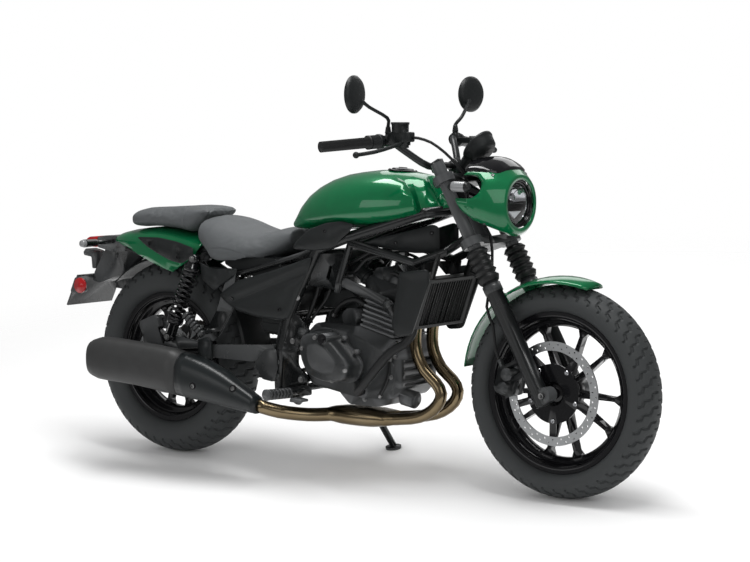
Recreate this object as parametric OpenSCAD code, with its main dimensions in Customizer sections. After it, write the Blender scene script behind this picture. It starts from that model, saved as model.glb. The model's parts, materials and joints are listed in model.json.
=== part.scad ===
// Cruiser motorcycle, parked on its side stand.
// Every piece is drawn on the upright bike: X forward from halfway between the axles,
// Y to the rider's left, Z up from the ground. park() then leans it on the stand.

/* [Stance] */
// Lean towards the side stand, in degrees
lean = 10; // [9:0.5:11]
// Distance between the axles
wheelbase = 1520; // [1500:5:1540]
// Steering axis from upright, in degrees
rake = 29; // [28:0.5:30]
// Fork legs ahead of the steering axis
fork_offset = 30; // [26:1:34]
// Axle ahead of the fork legs
axle_lead = 19; // [16:1:22]

/* [Front wheel] */
// Outer radius of the front tyre
front_r = 319.5; // [315:0.5:324]
// Width of the front tyre
front_tyre_w = 130; // [120:1:135]
// Bead seat radius of the front rim
front_bead_r = 228.6; // [222:0.2:232]
// Outer radius of the front brake disc
front_disc_r = 155; // [145:1:160]
// Radius of the front axle
front_axle_r = 9; // [8:0.5:11]
// Radius of the blind bore in each end of both axles
axle_bore_r = 5; // [4:0.5:6]
// Depth of those bores
axle_bore_l = 30; // [20:1:40]

/* [Rear wheel] */
// Outer radius of the rear tyre
rear_r = 323; // [318:0.5:326]
// Width of the rear tyre
rear_tyre_w = 150; // [140:1:156]
// Bead seat radius of the rear rim
rear_bead_r = 203.2; // [198:0.2:208]
// Outer radius of the rear brake disc
rear_disc_r = 120; // [110:1:125]
// Radius of the rear axle
rear_axle_r = 10; // [9:0.5:12]

/* [Wheel castings] */
// Pairs of spokes on each wheel
spoke_pairs = 5; // [4:1:6]
// Thickness of a spoke across the wheel
spoke_t = 26; // [20:1:30]
// Width of a spoke where it meets the rim
spoke_w = 13; // [10:1:16]
// Thickness of both brake discs
disc_t = 4.5; // [4:0.5:6]

/* [Fork] */
// Distance of each leg from the middle
leg_y = 102; // [100:1:106]
// Radius of the fork tubes
tube_r = 20.5; // [19:0.5:22]
// Radius of the sliders
slider_r = 25.5; // [24:0.5:27]
// Pleats on each fork boot
boot_pleats = 5; // [4:1:7]

/* [Handlebar] */
// Half of the width over the bar ends
bar_reach = 392; // [370:1:400]
// Radius of the handlebar tube
bar_r = 11; // [10.5:0.5:12.7]
// Radius of a grip
grip_r = 16.5; // [15.5:0.5:18]
// Radius of a mirror head
mirror_r = 57; // [50:1:62]

/* [Headlamp cowl] */
// Radius of the headlamp glass
lamp_r = 68.5; // [64:0.5:72]
// Widest half width of the cowl
cowl_w = 150; // [140:1:156]
// Wall of the cowl
cowl_wall = 4; // [3:0.5:5]

/* [Frame] */
// Radius of the frame tubes
rail_r = 17; // [15:0.5:19]
// Radius of the head tube
head_r = 31; // [29:0.5:33]
// Half distance between the pivot plates
plate_y = 112; // [110:1:116]
// Thickness of the pivot plates
plate_t = 14; // [10:1:16]

/* [Engine] */
// Half width of the crankcase
case_w = 104; // [98:1:106]
// Distance of the clutch cover's face from the middle
clutch_face = 186; // [180:1:190]
// Half width of the cylinder block
block_w = 92; // [86:1:96]

/* [Exhaust] */
// Radius of a header pipe
header_r = 19; // [17:0.5:21]
// Distance of the silencer from the middle
silencer_y = 205; // [202:1:210]
// Half width of the silencer
silencer_w = 56; // [52:1:60]

/* [Body] */
// Widest half width of the fuel tank
tank_w = 150; // [144:1:156]
// Half width of the rider's seat
seat_w = 150; // [140:1:158]
// Half width of the tail
tail_w = 112; // [106:1:116]
// Wall of the mudguards and covers
skin = 4; // [3:0.5:5]

/* [Rear suspension] */
// Distance of each shock from the middle
shock_y = 142; // [138:1:146]
// Coils on each shock
shock_coils = 10; // [8:1:12]
// Thickness of a swingarm beam
beam_t = 24; // [20:1:26]

/* [Chain] */
// Chain pitch
pitch = 15.875; // [15.875:3.175:19.05]
// Teeth on the rear sprocket
rear_teeth = 41; // [38:1:44]
// Teeth on the front sprocket
front_teeth = 14; // [13:1:15]

/* [Hidden] */
$fn = 48;

seat_gap = 0.3;
green = [0.0, 0.5, 0.25];
dark = [0.2, 0.2, 0.21];
black = [0.07, 0.07, 0.08];
steel = [0.7, 0.7, 0.72];
bronze = [0.5, 0.42, 0.3];

front_x = wheelbase / 2;
rear_x = -wheelbase / 2;
axle_offset = fork_offset + axle_lead;
trail = front_r * tan(rake) - axle_offset / cos(rake);
axle_s = front_r * cos(rake) + trail * sin(rake);
// Heights along the steering axis, measured from where it meets the ground
lower_clamp_s = 849;
upper_clamp_s = 1062;
clamp_t = 26;
boot_high_s = 822;
slider_top_s = 716;
tube_top_s = 1116;
head_low_s = lower_clamp_s + clamp_t / 2 + 4;
head_high_s = upper_clamp_s - clamp_t / 2 - 4;

// A point given along (s), ahead of (u) and beside (y) the steering axis
function on_fork(u, y, s) = [
    front_x + trail + u * cos(rake) - s * sin(rake), y, u * sin(rake) + s * cos(rake)
];
head = on_fork(0, 0, upper_clamp_s);
pivot = [-207, 0, 386];
rail_y = plate_y + 7;
beam_y = case_w;
rear_hub = [rear_x, 0, rear_r];
front_hub = [front_x, 0, front_r];

// Leans the bike on its tyres and stand, and moves the origin below its middle
crown_h = front_r - tyre_mid(front_r, front_bead_r);
lift = norm([crown_h * cos(lean), front_tyre_w / 2 * sin(lean)]) - crown_h * cos(lean);
origin_x = -51;
origin_y = 156;
module park() translate([-origin_x, -origin_y, lift]) rotate([-lean, 0, 0]) children();
module steer() translate([front_x + trail, 0, 0]) rotate([0, -rake, 0]) children();
module at_head() translate(head) children();
module both_sides() {
    children();
    mirror([0, 1, 0]) children();
}

// A straight round bar between two points
module rod(p, q, r, r2 = 0) {
    d = q - p;
    l = norm(d);
    translate(p) rotate([0, acos(d[2] / l), atan2(d[1], d[0])])
        cylinder(h = l, r1 = r, r2 = r2 > 0 ? r2 : r);
}
// A round bar that follows a list of points, with a ball at each bend
module pipe(pts, r) {
    for (i = [0 : len(pts) - 2]) rod(pts[i], pts[i + 1], r);
    for (i = [1 : 1 : len(pts) - 2]) translate(pts[i]) sphere(r + 0.5);
}
// A smooth path through a list of points, with k steps between two of them
function unit(v) = v / norm(v);
function between(p, i, u) = let (a = p[max(i - 1, 0)], b = p[i], c = p[i + 1], d = p[min(i + 2, len(p) - 1)])
    b + u / 2 * (c - a + u * (2 * a - 5 * b + 4 * c - d + u * (3 * b - 3 * c + d - a)));
function smooth(p, k) = concat([for (i = [0 : len(p) - 2], j = [0 : k - 1]) between(p, i, j / k)], [p[len(p) - 1]]);
// A round tube that follows such a path; side is any direction that the path never takes
module tube(pts, r, k = 4, n = 16, side = [0, 1, 0]) {
    path = smooth(pts, k);
    m = len(path);
    loft([for (i = [0 : m - 1]) let (t = unit(path[min(i + 1, m - 1)] - path[max(i - 1, 0)]),
        a = unit(cross(side, t)), b = cross(t, a))
        [for (j = [0 : n - 1]) path[i] + r * (cos(360 * j / n) * a + sin(360 * j / n) * b)]]);
}
// A round plug across the bike, from y0 to y1
module across(p, r, y0, y1) translate([p[0], y0, p[2]]) rotate([-90, 0, 0]) cylinder(r = r, h = y1 - y0);
// A plate with an outline in X and Z, from y0 to y1
module side_plate(outline, y0, y1) {
    translate([0, y1, 0]) rotate([90, 0, 0]) linear_extrude(y1 - y0) polygon(outline);
}

// The outline with its corners rounded off over r, in k steps
function rounded(pts, r, k = 3) = let (n = len(pts)) [
    for (i = [0 : n - 1]) let (b = pts[i], a = pts[(i + n - 1) % n] - b, c = pts[(i + 1) % n] - b,
        p = b + min(r, norm(a) * 0.45) * unit(a), q = b + min(r, norm(c) * 0.45) * unit(c))
        for (j = [0 : k]) let (t = j / k) (1 - t) * (1 - t) * p + 2 * t * (1 - t) * b + t * t * q
];
// A moulded cover: the outline in X and Z, given clockwise, with rows of [y, share of the outline's size]
module cover(outline, rows) {
    middle = [for (p = outline) 1] * outline / len(outline);
    loft([for (r = rows) [for (p = outline) let (q = middle + r[1] * (p - middle)) [q[0], r[0], q[1]]]]);
}

// Smooth curve through the rows of a table, by the value in its first column
function seg(t, x, i = 0) = (i >= len(t) - 2 || x < t[i + 1][0]) ? i : seg(t, x, i + 1);
function slope(t, i, c) = let (a = t[max(i - 1, 0)], b = t[min(i + 1, len(t) - 1)])
    (b[c] - a[c]) / (b[0] - a[0]);
function curve(t, x, c) = let (i = seg(t, x), a = t[i], b = t[i + 1], h = b[0] - a[0], u = (x - a[0]) / h)
    a[c] * (1 + 2 * u) * pow(1 - u, 2) + slope(t, i, c) * h * u * pow(1 - u, 2)
    + b[c] * u * u * (3 - 2 * u) + slope(t, i + 1, c) * h * u * u * (u - 1);
// An oval ring across the bike: half width w, top zt, widest at zm, bottom zb, squareness p
function oval(x, w, zt, zm, zb, p, n = 32) = [
    for (i = [0 : n - 1]) let (c = cos(360 * i / n), s = sin(360 * i / n))
        [x, w * sign(c) * pow(abs(c), 2 / p),
         zm + (s > 0 ? zt - zm : zm - zb) * sign(s) * pow(abs(s), 2 / p)]
];
// Skins a list of rings into one closed solid
module loft(rings) {
    n = len(rings[0]);
    m = len(rings);
    polyhedron(
        points = [for (r = rings) each r],
        faces = concat(
            [[for (i = [0 : n - 1]) i]],
            [for (j = [0 : m - 2], i = [0 : n - 1]) each [
                [j * n + i, (j + 1) * n + (i + 1) % n, j * n + (i + 1) % n],
                [j * n + i, (j + 1) * n + i, (j + 1) * n + (i + 1) % n]
            ]],
            [[for (i = [n - 1 : -1 : 0]) (m - 1) * n + i]]));
}
// Lofts a table of rows [x, w, zt, zm, zb] with a ring every few millimetres
module hull_form(table, p, steps, n = 32, grow = 0) {
    x0 = table[0][0];
    x1 = table[len(table) - 1][0];
    loft([for (k = [0 : steps]) let (x = x0 + (x1 - x0) * (1 - cos(180 * k / steps)) / 2)
        oval(x + grow * (2 * k / steps - 1), curve(table, x, 1) + grow, curve(table, x, 2) + grow,
             curve(table, x, 3), curve(table, x, 4) - grow, p, n)]);
}

// Wheels

// Tyre section: heel and bead against the rim flange, round sidewall, elliptic crown
function mirrored(l) = [for (i = [len(l) - 1 : -1 : 0]) [l[i][0], -l[i][1]]];
tyre_t = 9;
lip_h = 12;
function tyre_mid(r, bead_r) = bead_r + 0.45 * (r - bead_r);
module tyre(r, w, bead_r, rim_w) {
    mid = tyre_mid(r, bead_r);
    h = rim_w / 2 - seat_gap;
    bead = bead_r + seat_gap;
    outer = concat(
        [[bead, h - 16], [bead, h], [bead_r + lip_h + 1, h]],
        [for (a = [12 : 22 : 80]) [mid - (mid - bead_r - lip_h - 1) * cos(a), h + (w / 2 - h) * sin(a)]],
        [for (a = [0 : 6 : 84]) [mid + (r - mid) * sin(a), w / 2 * cos(a)]]);
    inner = concat(
        [for (a = [90 : -15 : 0]) [mid + (r - tyre_t - mid) * sin(a), (w / 2 - tyre_t) * cos(a)]],
        [[bead + lip_h, h - 14], [bead, h - 16]]);
    rotate([-90, 0, 0]) rotate_extrude($fn = 96) polygon(concat(
        outer, [[r, 0]], mirrored(outer),
        [for (i = [len(inner) - 2 : -1 : 0]) [inner[i][0], -inner[i][1]]],
        [for (i = [1 : len(inner) - 2]) inner[i]]));
}
// Cast wheel: dropped-centre rim, hub and pairs of spokes, bored for its axle
module wheel(bead_r, rim_w, hub_w0, hub_w1, bore_r) {
    wall = 7;
    well = 26;
    h = rim_w / 2;
    difference() {
        union() {
            rotate([-90, 0, 0]) rotate_extrude($fn = 96) polygon([
                [bead_r + lip_h, h + wall], [bead_r + lip_h, h], [bead_r, h], [bead_r, h - 18],
                [bead_r - well, h - 30], [bead_r - well, 30 - h], [bead_r, 18 - h], [bead_r, -h],
                [bead_r + lip_h, -h], [bead_r + lip_h, -h - wall], [bead_r - wall, -h - wall + 2],
                [bead_r - wall - 1, -h + 14], [bead_r - well - wall, 31 - h],
                [bead_r - well - wall, h - 31], [bead_r - wall - 1, h - 14],
                [bead_r - wall, h + wall - 2]]);
            translate([0, hub_w0, 0]) rotate([-90, 0, 0]) cylinder(r = 36, h = hub_w1 - hub_w0);
            rotate([90, 0, 0]) cylinder(r = 62, h = spoke_t + 6, center = true);
            for (k = [0 : spoke_pairs - 1], side = [-1, 1])
                rotate([0, 90 - k * 360 / spoke_pairs, 0]) rotate([0, side * 15, 0])
                    side_plate([[56, -11], [150, -7], [bead_r - well - 24, -spoke_w / 2],
                        [bead_r - well - 3, -spoke_w * 1.4], [bead_r - well - 3, spoke_w * 1.4],
                        [bead_r - well - 24, spoke_w / 2], [150, 7], [56, 11]], -spoke_t / 2, spoke_t / 2);
        }
        rotate([90, 0, 0]) cylinder(r = bore_r, h = 300, center = true);
    }
}
// Drilled brake ring on a five-armed carrier, from y0 towards +Y
module brake_disc(r, ring_w, y0, hub_r, bolt_r) {
    translate([0, y0, 0]) rotate([-90, 0, 0]) difference() {
        union() {
            difference() {
                cylinder(r = r, h = disc_t, $fn = 96);
                translate([0, 0, -1]) cylinder(r = r - ring_w, h = disc_t + 2, $fn = 96);
            }
            for (k = [0 : 4]) rotate([0, 0, 18 + 72 * k]) {
                translate([bolt_r - 8, -11, 0]) cube([r - ring_w - bolt_r + 10, 22, disc_t]);
                translate([bolt_r, 0, 0]) cylinder(r = 14, h = disc_t);
            }
            difference() {
                cylinder(r = bolt_r + 8, h = disc_t, $fn = 96);
                translate([0, 0, -1]) cylinder(r = hub_r, h = disc_t + 2, $fn = 96);
            }
        }
        for (k = [0 : 29]) rotate([0, 0, 12 * k]) {
            translate([r - ring_w * 0.3, 0, -1]) cylinder(r = 3, h = disc_t + 2, $fn = 16);
            rotate([0, 0, 6]) translate([r - ring_w * 0.7, 0, -1]) cylinder(r = 3, h = disc_t + 2, $fn = 16);
        }
    }
}

front_disc_y = -66;
front_hub_half = 58;
front_rim_w = 76;
rear_disc_y = -76;
rear_rim_w = 94;
module front_tyre() color(black) translate(front_hub) tyre(front_r, front_tyre_w, front_bead_r, front_rim_w);
module front_rim() color(black) translate(front_hub)
    wheel(front_bead_r, front_rim_w, -front_hub_half, front_hub_half, front_axle_r + 0.05);
module front_disc() color(steel) translate(front_hub)
    brake_disc(front_disc_r, 27, front_disc_y, 36 + seat_gap, 81);
module rear_tyre() color(black) translate(rear_hub) tyre(rear_r, rear_tyre_w, rear_bead_r, rear_rim_w);
module rear_rim() color(black) translate(rear_hub)
    wheel(rear_bead_r, rear_rim_w, -82, 74, rear_axle_r + 0.05);
module rear_disc() color(steel) translate(rear_hub)
    brake_disc(rear_disc_r, 24, rear_disc_y, 36 + seat_gap, 62);

// Chain drive on the left

chain_y = case_w - 12;
sprocket_t = 7;
front_sprocket = [-112, 0, 366];
function pitch_r(n) = pitch / 2 / sin(180 / n);
// A toothed wheel with a hollow at each roller
module toothed(n, bore) {
    difference() {
        cylinder(r = pitch_r(n) + 3.5, h = sprocket_t, $fn = 96);
        for (k = [0 : n - 1]) rotate([0, 0, 360 * k / n]) translate([pitch_r(n), 0, -1])
            cylinder(r = 5.3, h = sprocket_t + 2, $fn = 16);
        translate([0, 0, -1]) cylinder(r = bore, h = sprocket_t + 2);
    }
}
module rear_sprocket() color(steel) translate([rear_hub[0], chain_y - sprocket_t / 2, rear_hub[2]])
    rotate([-90, 0, 0]) {
        difference() {
            toothed(rear_teeth, 36 + seat_gap);
            for (k = [0 : 4]) rotate([0, 0, 72 * k]) translate([70, 0, -1]) cylinder(r = 17, h = sprocket_t + 2);
        }
    }
// The line through the pins: an arc round each sprocket and two straight runs, out to side 1 or -1
chain_h = 7.5;
chain_dip = 5;
plate_w = 3;
pin_r = 3;
drive = rear_hub - front_sprocket;
span = norm([drive[0], drive[2]]);
wrap = asin((pitch_r(rear_teeth) - pitch_r(front_teeth)) / span);
function out(side) = [cos(90 + wrap), side * sin(90 + wrap)];
function run_pt(side, t) = (1 - t) * pitch_r(front_teeth) * out(side)
    + t * ([span, 0] + pitch_r(rear_teeth) * out(side));
half_links = 2 * round(norm(run_pt(1, 1) - run_pt(1, 0)) / pitch);
// Outline of the side plates, h outside that line at a pin and dip outside it between two pins
function wave(i, h, dip) = i % 2 == 0 ? h : dip;
function arc(x, r, a0, a1, n, h, dip) = [for (i = [0 : n]) let (a = a0 + (a1 - a0) * i / n)
    [x + (r + wave(i, h, dip)) * cos(a), (r + wave(i, h, dip)) * sin(a)]];
function run(side, h, dip) = [for (i = [1 : half_links - 1])
    run_pt(side, i / half_links) + wave(i, h, dip) * out(side)];
function turned(l) = [for (i = [len(l) - 1 : -1 : 0]) l[i]];
function loop(h, dip) = concat(arc(0, pitch_r(front_teeth), 90 + wrap, 270 - wrap, 14, h, dip), run(-1, h, dip),
    arc(span, pitch_r(rear_teeth), -90 - wrap, 90 + wrap, 44, h, dip), turned(run(1, h, dip)));
// Pins stop where the rear sprocket's teeth come near
last_pin = half_links / 2 - 4;
module drive_chain() color(dark) translate([front_sprocket[0], chain_y, front_sprocket[2]]) rotate([90, 0, 0])
    rotate(atan2(drive[2], drive[0])) {
        for (y = [-9, 6]) translate([0, 0, y]) linear_extrude(plate_w) difference() {
            polygon(loop(chain_h, chain_dip));
            polygon(loop(-chain_h, -chain_dip));
        }
        for (side = [-1, 1], k = [2 : last_pin]) let (at = run_pt(side, 2 * k / half_links))
            translate([at[0], at[1], -9.8]) cylinder(r = pin_r, h = 19.6, $fn = 6);
    }

// Steering assembly

// A round axle across the bike with a blind bore in each end
module axle(hub, r, half) difference() {
    across(hub, r, -half, half);
    for (y = [-half - 1, half - axle_bore_l]) across(hub, axle_bore_r, y, y + axle_bore_l + 1);
}
module front_axle() color(steel) axle(front_hub, front_axle_r, leg_y + 32);
module fork_sliders() color(black) {
    caliper_lugs();
    steer() both_sides() slider();
}
module slider() difference() {
    union() {
        translate([fork_offset, leg_y, axle_s - 24]) cylinder(r = slider_r, h = slider_top_s - axle_s + 24);
        translate([axle_offset, leg_y - 22, axle_s]) rotate([-90, 0, 0]) cylinder(r = 24, h = 44);
        translate([fork_offset, leg_y, slider_top_s - 34]) cylinder(r = slider_r + 3, h = 26);
    }
    translate([axle_offset, leg_y - 60, axle_s]) rotate([-90, 0, 0]) cylinder(r = front_axle_r + 0.05, h = 120);
    translate([fork_offset, leg_y, 500]) cylinder(r = tube_r + seat_gap, h = 300);
}
// Two lugs behind the right leg carry the caliper
module caliper_lugs(grow = 0) steer() for (s = [418, 460]) translate([-42 - grow, -110 - grow, s - grow])
    cube([62, 14 + 2 * grow, 16 + 2 * grow]);
module fork_tubes() color(black) steer() both_sides() difference() {
    translate([fork_offset, leg_y, 520]) cylinder(r = tube_r, h = tube_top_s - 520);
    translate([fork_offset, leg_y, tube_top_s - 8]) cylinder(r = 10, h = 20);
}
module fork_boots() color(black) steer() both_sides() translate([fork_offset, leg_y, 0]) {
    h = (boot_high_s - slider_top_s - 4) / boot_pleats;
    rotate_extrude() polygon(concat(
        [[tube_r + seat_gap, slider_top_s + seat_gap], [slider_r + 4, slider_top_s + seat_gap]],
        [for (k = [0 : boot_pleats - 1]) each [
            [slider_r + 10, slider_top_s + 8 + k * h + h / 3], [slider_r + 2, slider_top_s + 8 + k * h + h * 0.85]]],
        [[slider_r, boot_high_s], [tube_r + seat_gap, boot_high_s]]));
}
module triple_clamps() color(black) steer() {
    for (s = [lower_clamp_s, upper_clamp_s]) difference() {
        union() {
            for (y = [-leg_y, leg_y]) translate([fork_offset, y, s - clamp_t / 2]) cylinder(r = tube_r + 12, h = clamp_t);
            translate([0, 0, s - clamp_t / 2]) cylinder(r = 30, h = clamp_t);
            translate([0, 0, s - clamp_t / 2]) linear_extrude(clamp_t) polygon([
                [-26, -50], [-26, 50], [fork_offset - 16, leg_y], [fork_offset + 22, leg_y],
                [fork_offset + 10, 0], [fork_offset + 22, -leg_y], [fork_offset - 16, -leg_y]]);
            for (y = [-leg_y, leg_y]) translate([fork_offset - tube_r - 15, y - 11, s - 9]) cube([30, 22, 18]);
        }
        for (y = [-leg_y, leg_y]) translate([fork_offset, y, s - clamp_t]) cylinder(r = tube_r + 0.05, h = 2 * clamp_t);
    }
    translate([0, 0, lower_clamp_s - clamp_t / 2]) cylinder(r = 15, h = upper_clamp_s - lower_clamp_s + clamp_t + 8);
}

// Front mudguard: a blade over the tyre, narrow at its front tip and widest at the fork
guard_in = front_r + 22;
guard_crown = 32;
guard_w = leg_y - slider_r - 3;
guard_table = [[-170, guard_w - 14], [-150, guard_w - 4], [-96, guard_w], [-84, guard_w - 4], [-72, guard_w - 26]];
function guard_pt(a, w, b, t) = let (r = guard_in - guard_crown + (guard_crown + t) * cos(b))
    [front_x - r * cos(180 + a), (w + t - skin) * sin(b) / sin(60), front_r + r * sin(-a)];
module front_mudguard() color(green) {
    loft([for (k = [0 : 18]) let (a = -170 + 98 * k / 18, w = curve(guard_table, a, 1)) concat(
        [for (b = [60 : -15 : -60]) guard_pt(a, w, b, skin)], [for (b = [-60 : 15 : 60]) guard_pt(a, w, b, 0)])]);
    steer() both_sides() translate([fork_offset - 12, guard_w - 6, 640]) cube([24, slider_gap, 34]);
}
slider_gap = leg_y - slider_r - seat_gap - guard_w + 6;

// Two-piston caliper on the right, in a frame whose Z points from the axle to the pads
pad_r = 141;
module on_front_pads() steer() translate([axle_offset, front_disc_y, axle_s]) rotate([0, -45, 0]) children();
module front_caliper() color(black) difference() {
    union() {
        on_front_pads() {
            side_plate(rounded([[-52, 122], [-46, 112], [30, 112], [36, 122], [36, 168], [24, 178], [-40, 178],
                [-52, 166]], 8), -42, 24);
            for (x = [-30, 14]) across([x, 0, pad_r], 19, -52, -30);
        }
        steer() translate([-50, -100, 478]) cylinder(r = 9, h = 22);
    }
    on_front_pads() side_plate([[-60, 100], [50, 100], [50, 161], [-60, 161]], -3.2, disc_t + 3.2);
    caliper_lugs(seat_gap);
}
module brake_hose() color(black) tube([on_fork(-50, -100, 500 + 2 * seat_gap), on_fork(-50, -100, 530),
    on_fork(-24, -99, 600), on_fork(-22, -92, 660), on_fork(26, -54, 760), on_fork(66, -50, 850),
    on_fork(62, -54, 900), [458, -84, 950], [448, -112, 987], [420, -138, 1026], [385, -160, 1056],
    head + [-14, -180, 140], head + [-34 + 2 * seat_gap, -180, 140]], 4.5, 2, 8);

// Handlebar and what it carries

bar_path = [[-38, 0, 53], [-50, 75, 53], [-92, 130, 95], [-126, 165, 131], [-155, 235, 126], [-216, bar_reach - 10, 115]];
bar_half = concat(smooth([for (i = [0 : 3]) bar_path[i]], 3), [bar_path[4], bar_path[5]]);
bar_n = len(bar_half);
riser_y = 45;
riser_u = -7.5;
clamp_top = clamp_t / 2 + seat_gap;
module handlebar() color(black) at_head() {
    tube(concat([for (i = [bar_n - 1 : -1 : 1]) [bar_half[i][0], -bar_half[i][1], bar_half[i][2]]], bar_half),
        bar_r, 1, 14, [0, 0, 1]);
    both_sides() rotate([0, -rake, 0]) {
        translate([riser_u, riser_y, clamp_top]) cylinder(r = 13, h = 40);
        translate([riser_u - 19, riser_y - 13, 50]) cube([38, 26, 30]);
    }
}
module grips() color(black) at_head() both_sides() difference() {
    union() {
        rod(bar_path[4], bar_path[5] + (bar_path[5] - bar_path[4]) * 0.06, grip_r);
        rod(bar_path[4], bar_path[4] + (bar_path[5] - bar_path[4]) * 0.05, grip_r + 5);
    }
    rod(bar_path[4] * 2 - bar_path[5], bar_path[5], bar_r + seat_gap);
}
// Switch housings, levers on their perches, and the brake's master cylinder on the right
module bar_bore() rod(bar_path[3] * 2 - bar_path[4], bar_path[4] * 2 - bar_path[3], bar_r + seat_gap);
function on_bar(t) = bar_path[3] + t * (bar_path[4] - bar_path[3]);
lever_path = [[-64, 196, 126], [-58, 215, 122], [-62, 250, 114], [-80, 310, 100], [-106, 366, 92]];
stem_foot = [-127, 178, 153];
module bar_controls() color(black) at_head() {
    both_sides() {
        difference() {
            union() {
                rod(on_bar(0.42), on_bar(0.96), 21);
                rod(on_bar(0.5), on_bar(0.62), 23);
                rod(on_bar(0.1), on_bar(0.34), 17);
                translate([-132, 172, 118]) cube([84, 18, 16]);
                translate([stem_foot[0], stem_foot[1], 132]) cylinder(r = 9, h = stem_foot[2] - 132);
            }
            bar_bore();
        }
        translate([-62, 181, 110]) cylinder(r = 12, h = 30);
        tube(concat([[-60, 181, 127]], lever_path), 6, 2, 8, [0, 0, 1]);
        translate(lever_path[4]) sphere(10);
    }
    side_plate(rounded([[-112, 124], [-112, 158], [-34, 158], [-34, 128]], 6), -202, -170);
    translate([-76, -186, 156]) cylinder(r = 26, h = 26);
    translate([-76, -186, 180]) cylinder(r = 28, h = 7);
}
mirror_at = [-152, 307, 270];
module mirrors() color(black) at_head() both_sides() {
    tube([stem_foot + [0, 0, 6], stem_foot + [0, 0, 22], [-116, 198, 200], [-138, 258, 232],
        mirror_at + [6, -22, -18]], 5.5, 3, 8, [1, 0, 0]);
    translate(stem_foot + [0, 0, seat_gap]) cylinder(r1 = 10, r2 = 7, h = 20);
    translate(mirror_at) rotate([0, 0, -8]) rotate([0, 90, 0]) rotate_extrude() polygon([[0, -11],
        [mirror_r - 6, -11], [mirror_r, -8], [mirror_r, -3], [mirror_r - 7, 5], [mirror_r - 22, 10],
        [mirror_r - 40, 12.5], [0, 13]]);
}

// Cowl, lamp and instrument hang on the clamps

cowl_table = [
    [92, cowl_w, 74, -35, -125], [150, cowl_w - 2, 80, -38, -140], [190, cowl_w - 22, 66, -45, -154],
    [218, cowl_w - 44, 42, -54, -156], [236, lamp_r + 16, 30, -56, -142]
];
lamp_z = -56;
signal_x = 116;
signal_r = 16;
signal_room = 18;
arm_y = 96;
arm_t = 6;
cowl_pin = [140, 0, -62];
module cowl() color(green) at_head() {
    intersection() {
        difference() {
            hull_form(cowl_table, 2.1, 10, 36);
            hull_form(cowl_table, 2.1, 10, 36, -cowl_wall);
            translate([150, 0, lamp_z]) rotate([0, 90, 0]) cylinder(r = lamp_r + 4 + seat_gap, h = 200);
            across([signal_x + 28, 0, -3], signal_r + signal_room, -200, 200);
            translate([40, -200, -3 - signal_r - signal_room])
                cube([signal_x - 12, 400, 2 * (signal_r + signal_room)]);
        }
        side_plate([[134, 100], [120, 40], [104, 20], [100, -45], [112, -70], [144, -104], [200, -131],
            [216, -140], [216, -165], [260, -165], [260, 100]], -200, 200);
    }
    both_sides() across(cowl_pin, 6, arm_y + arm_t + seat_gap, cowl_w - cowl_wall - 0.5);
}
// Smoked screen over the top of the cowl
module cowl_visor() color(black) at_head() intersection() {
    difference() {
        hull_form(cowl_table, 2.1, 10, 36, 5);
        hull_form(cowl_table, 2.1, 10, 36, seat_gap);
    }
    translate([0, 0, 34]) linear_extrude(80) polygon(rounded([[106, -118], [106, 118], [160, 112], [205, 74],
        [216, 0], [205, -74], [160, -112]], 20));
}
module headlamp() color(steel) at_head() {
    translate([150, 0, lamp_z]) rotate([0, 90, 0]) rotate_extrude() polygon(concat([[0, -26], [40, -26],
        [lamp_r, 0], [lamp_r + 4, 3], [lamp_r + 4, 77], [lamp_r + 2, 79], [lamp_r - 1, 78], [lamp_r - 2, 70],
        [lamp_r - 7, 70], [lamp_r - 8, 74]], [for (k = [5 : -1 : 0]) [(lamp_r - 10) * k / 5.5, 89 - 0.5 * k * k]]));
    both_sides() {
        difference() {
            side_plate(rounded([[50, -60], [75, 10], [110, 10], [170, -20], [176, -50], [170, -78], [110, -80]], 8),
                arm_y, arm_y + arm_t);
            rotate([0, -rake, 0]) translate([fork_offset, leg_y, -300]) cylinder(r = tube_r + seat_gap, h = 600);
        }
        across([160, 0, lamp_z], 10, lamp_r, arm_y + 1);
    }
}
// Round dial on a stay from the upper clamp
module instrument() color(black) at_head() {
    translate([92, 0, 106]) rotate([0, -50, 0]) rotate_extrude() polygon([[0, -22], [34, -22], [44, -14],
        [52, 10], [55, 14], [55, 20], [50, 22], [48, 18], [0, 18]]);
    rotate([0, -rake, 0]) side_plate(rounded([[18, clamp_top], [38, clamp_top], [46, 20], [124, 52],
        [112, 74], [30, 34]], 3), -18, 18);
}
module front_turn_signals() color(black) at_head() both_sides() {
    translate([signal_x - 40, cowl_w, -3]) rotate([0, 90, 0]) rotate_extrude() polygon([[0, 0], [9, 1],
        [signal_r - 3, 8], [signal_r, 20], [signal_r, 62], [signal_r - 2, 70], [8, 76], [0, 76]]);
    across([signal_x - 20, 0, -3], 9, arm_y + arm_t + seat_gap, cowl_w - 4);
}

// Frame

head_node = on_fork(-28, 12, 985);
rail_pts = [head_node, [300, 72, 838], [45, rail_y - 1, 758], [-76, rail_y, 716], [-142, rail_y, 598],
    [-194, rail_y, 494], [-222, rail_y, 391], [-230, rail_y, 268]];
lower_pts = [on_fork(-24, 12, 895), [381, 78, 723], [286, 104, 686], [52, rail_y - 1, 740]];
lower_r = rail_r - 4;
module main_rails(grow = 0) both_sides() pipe(rail_pts, rail_r + grow);
// Side stand: hinge, the direction it stands in and the direction it folds to
function floor_z(y) = (y * sin(lean) - lift) / cos(lean);
stand_pivot = [-96, 140, 214];
stand_foot = [-50, 246, floor_z(246)];
stand_folded = [-0.975, 0.20, -0.10];
stand_axis = unit(cross(stand_foot - stand_pivot, stand_folded));
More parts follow.
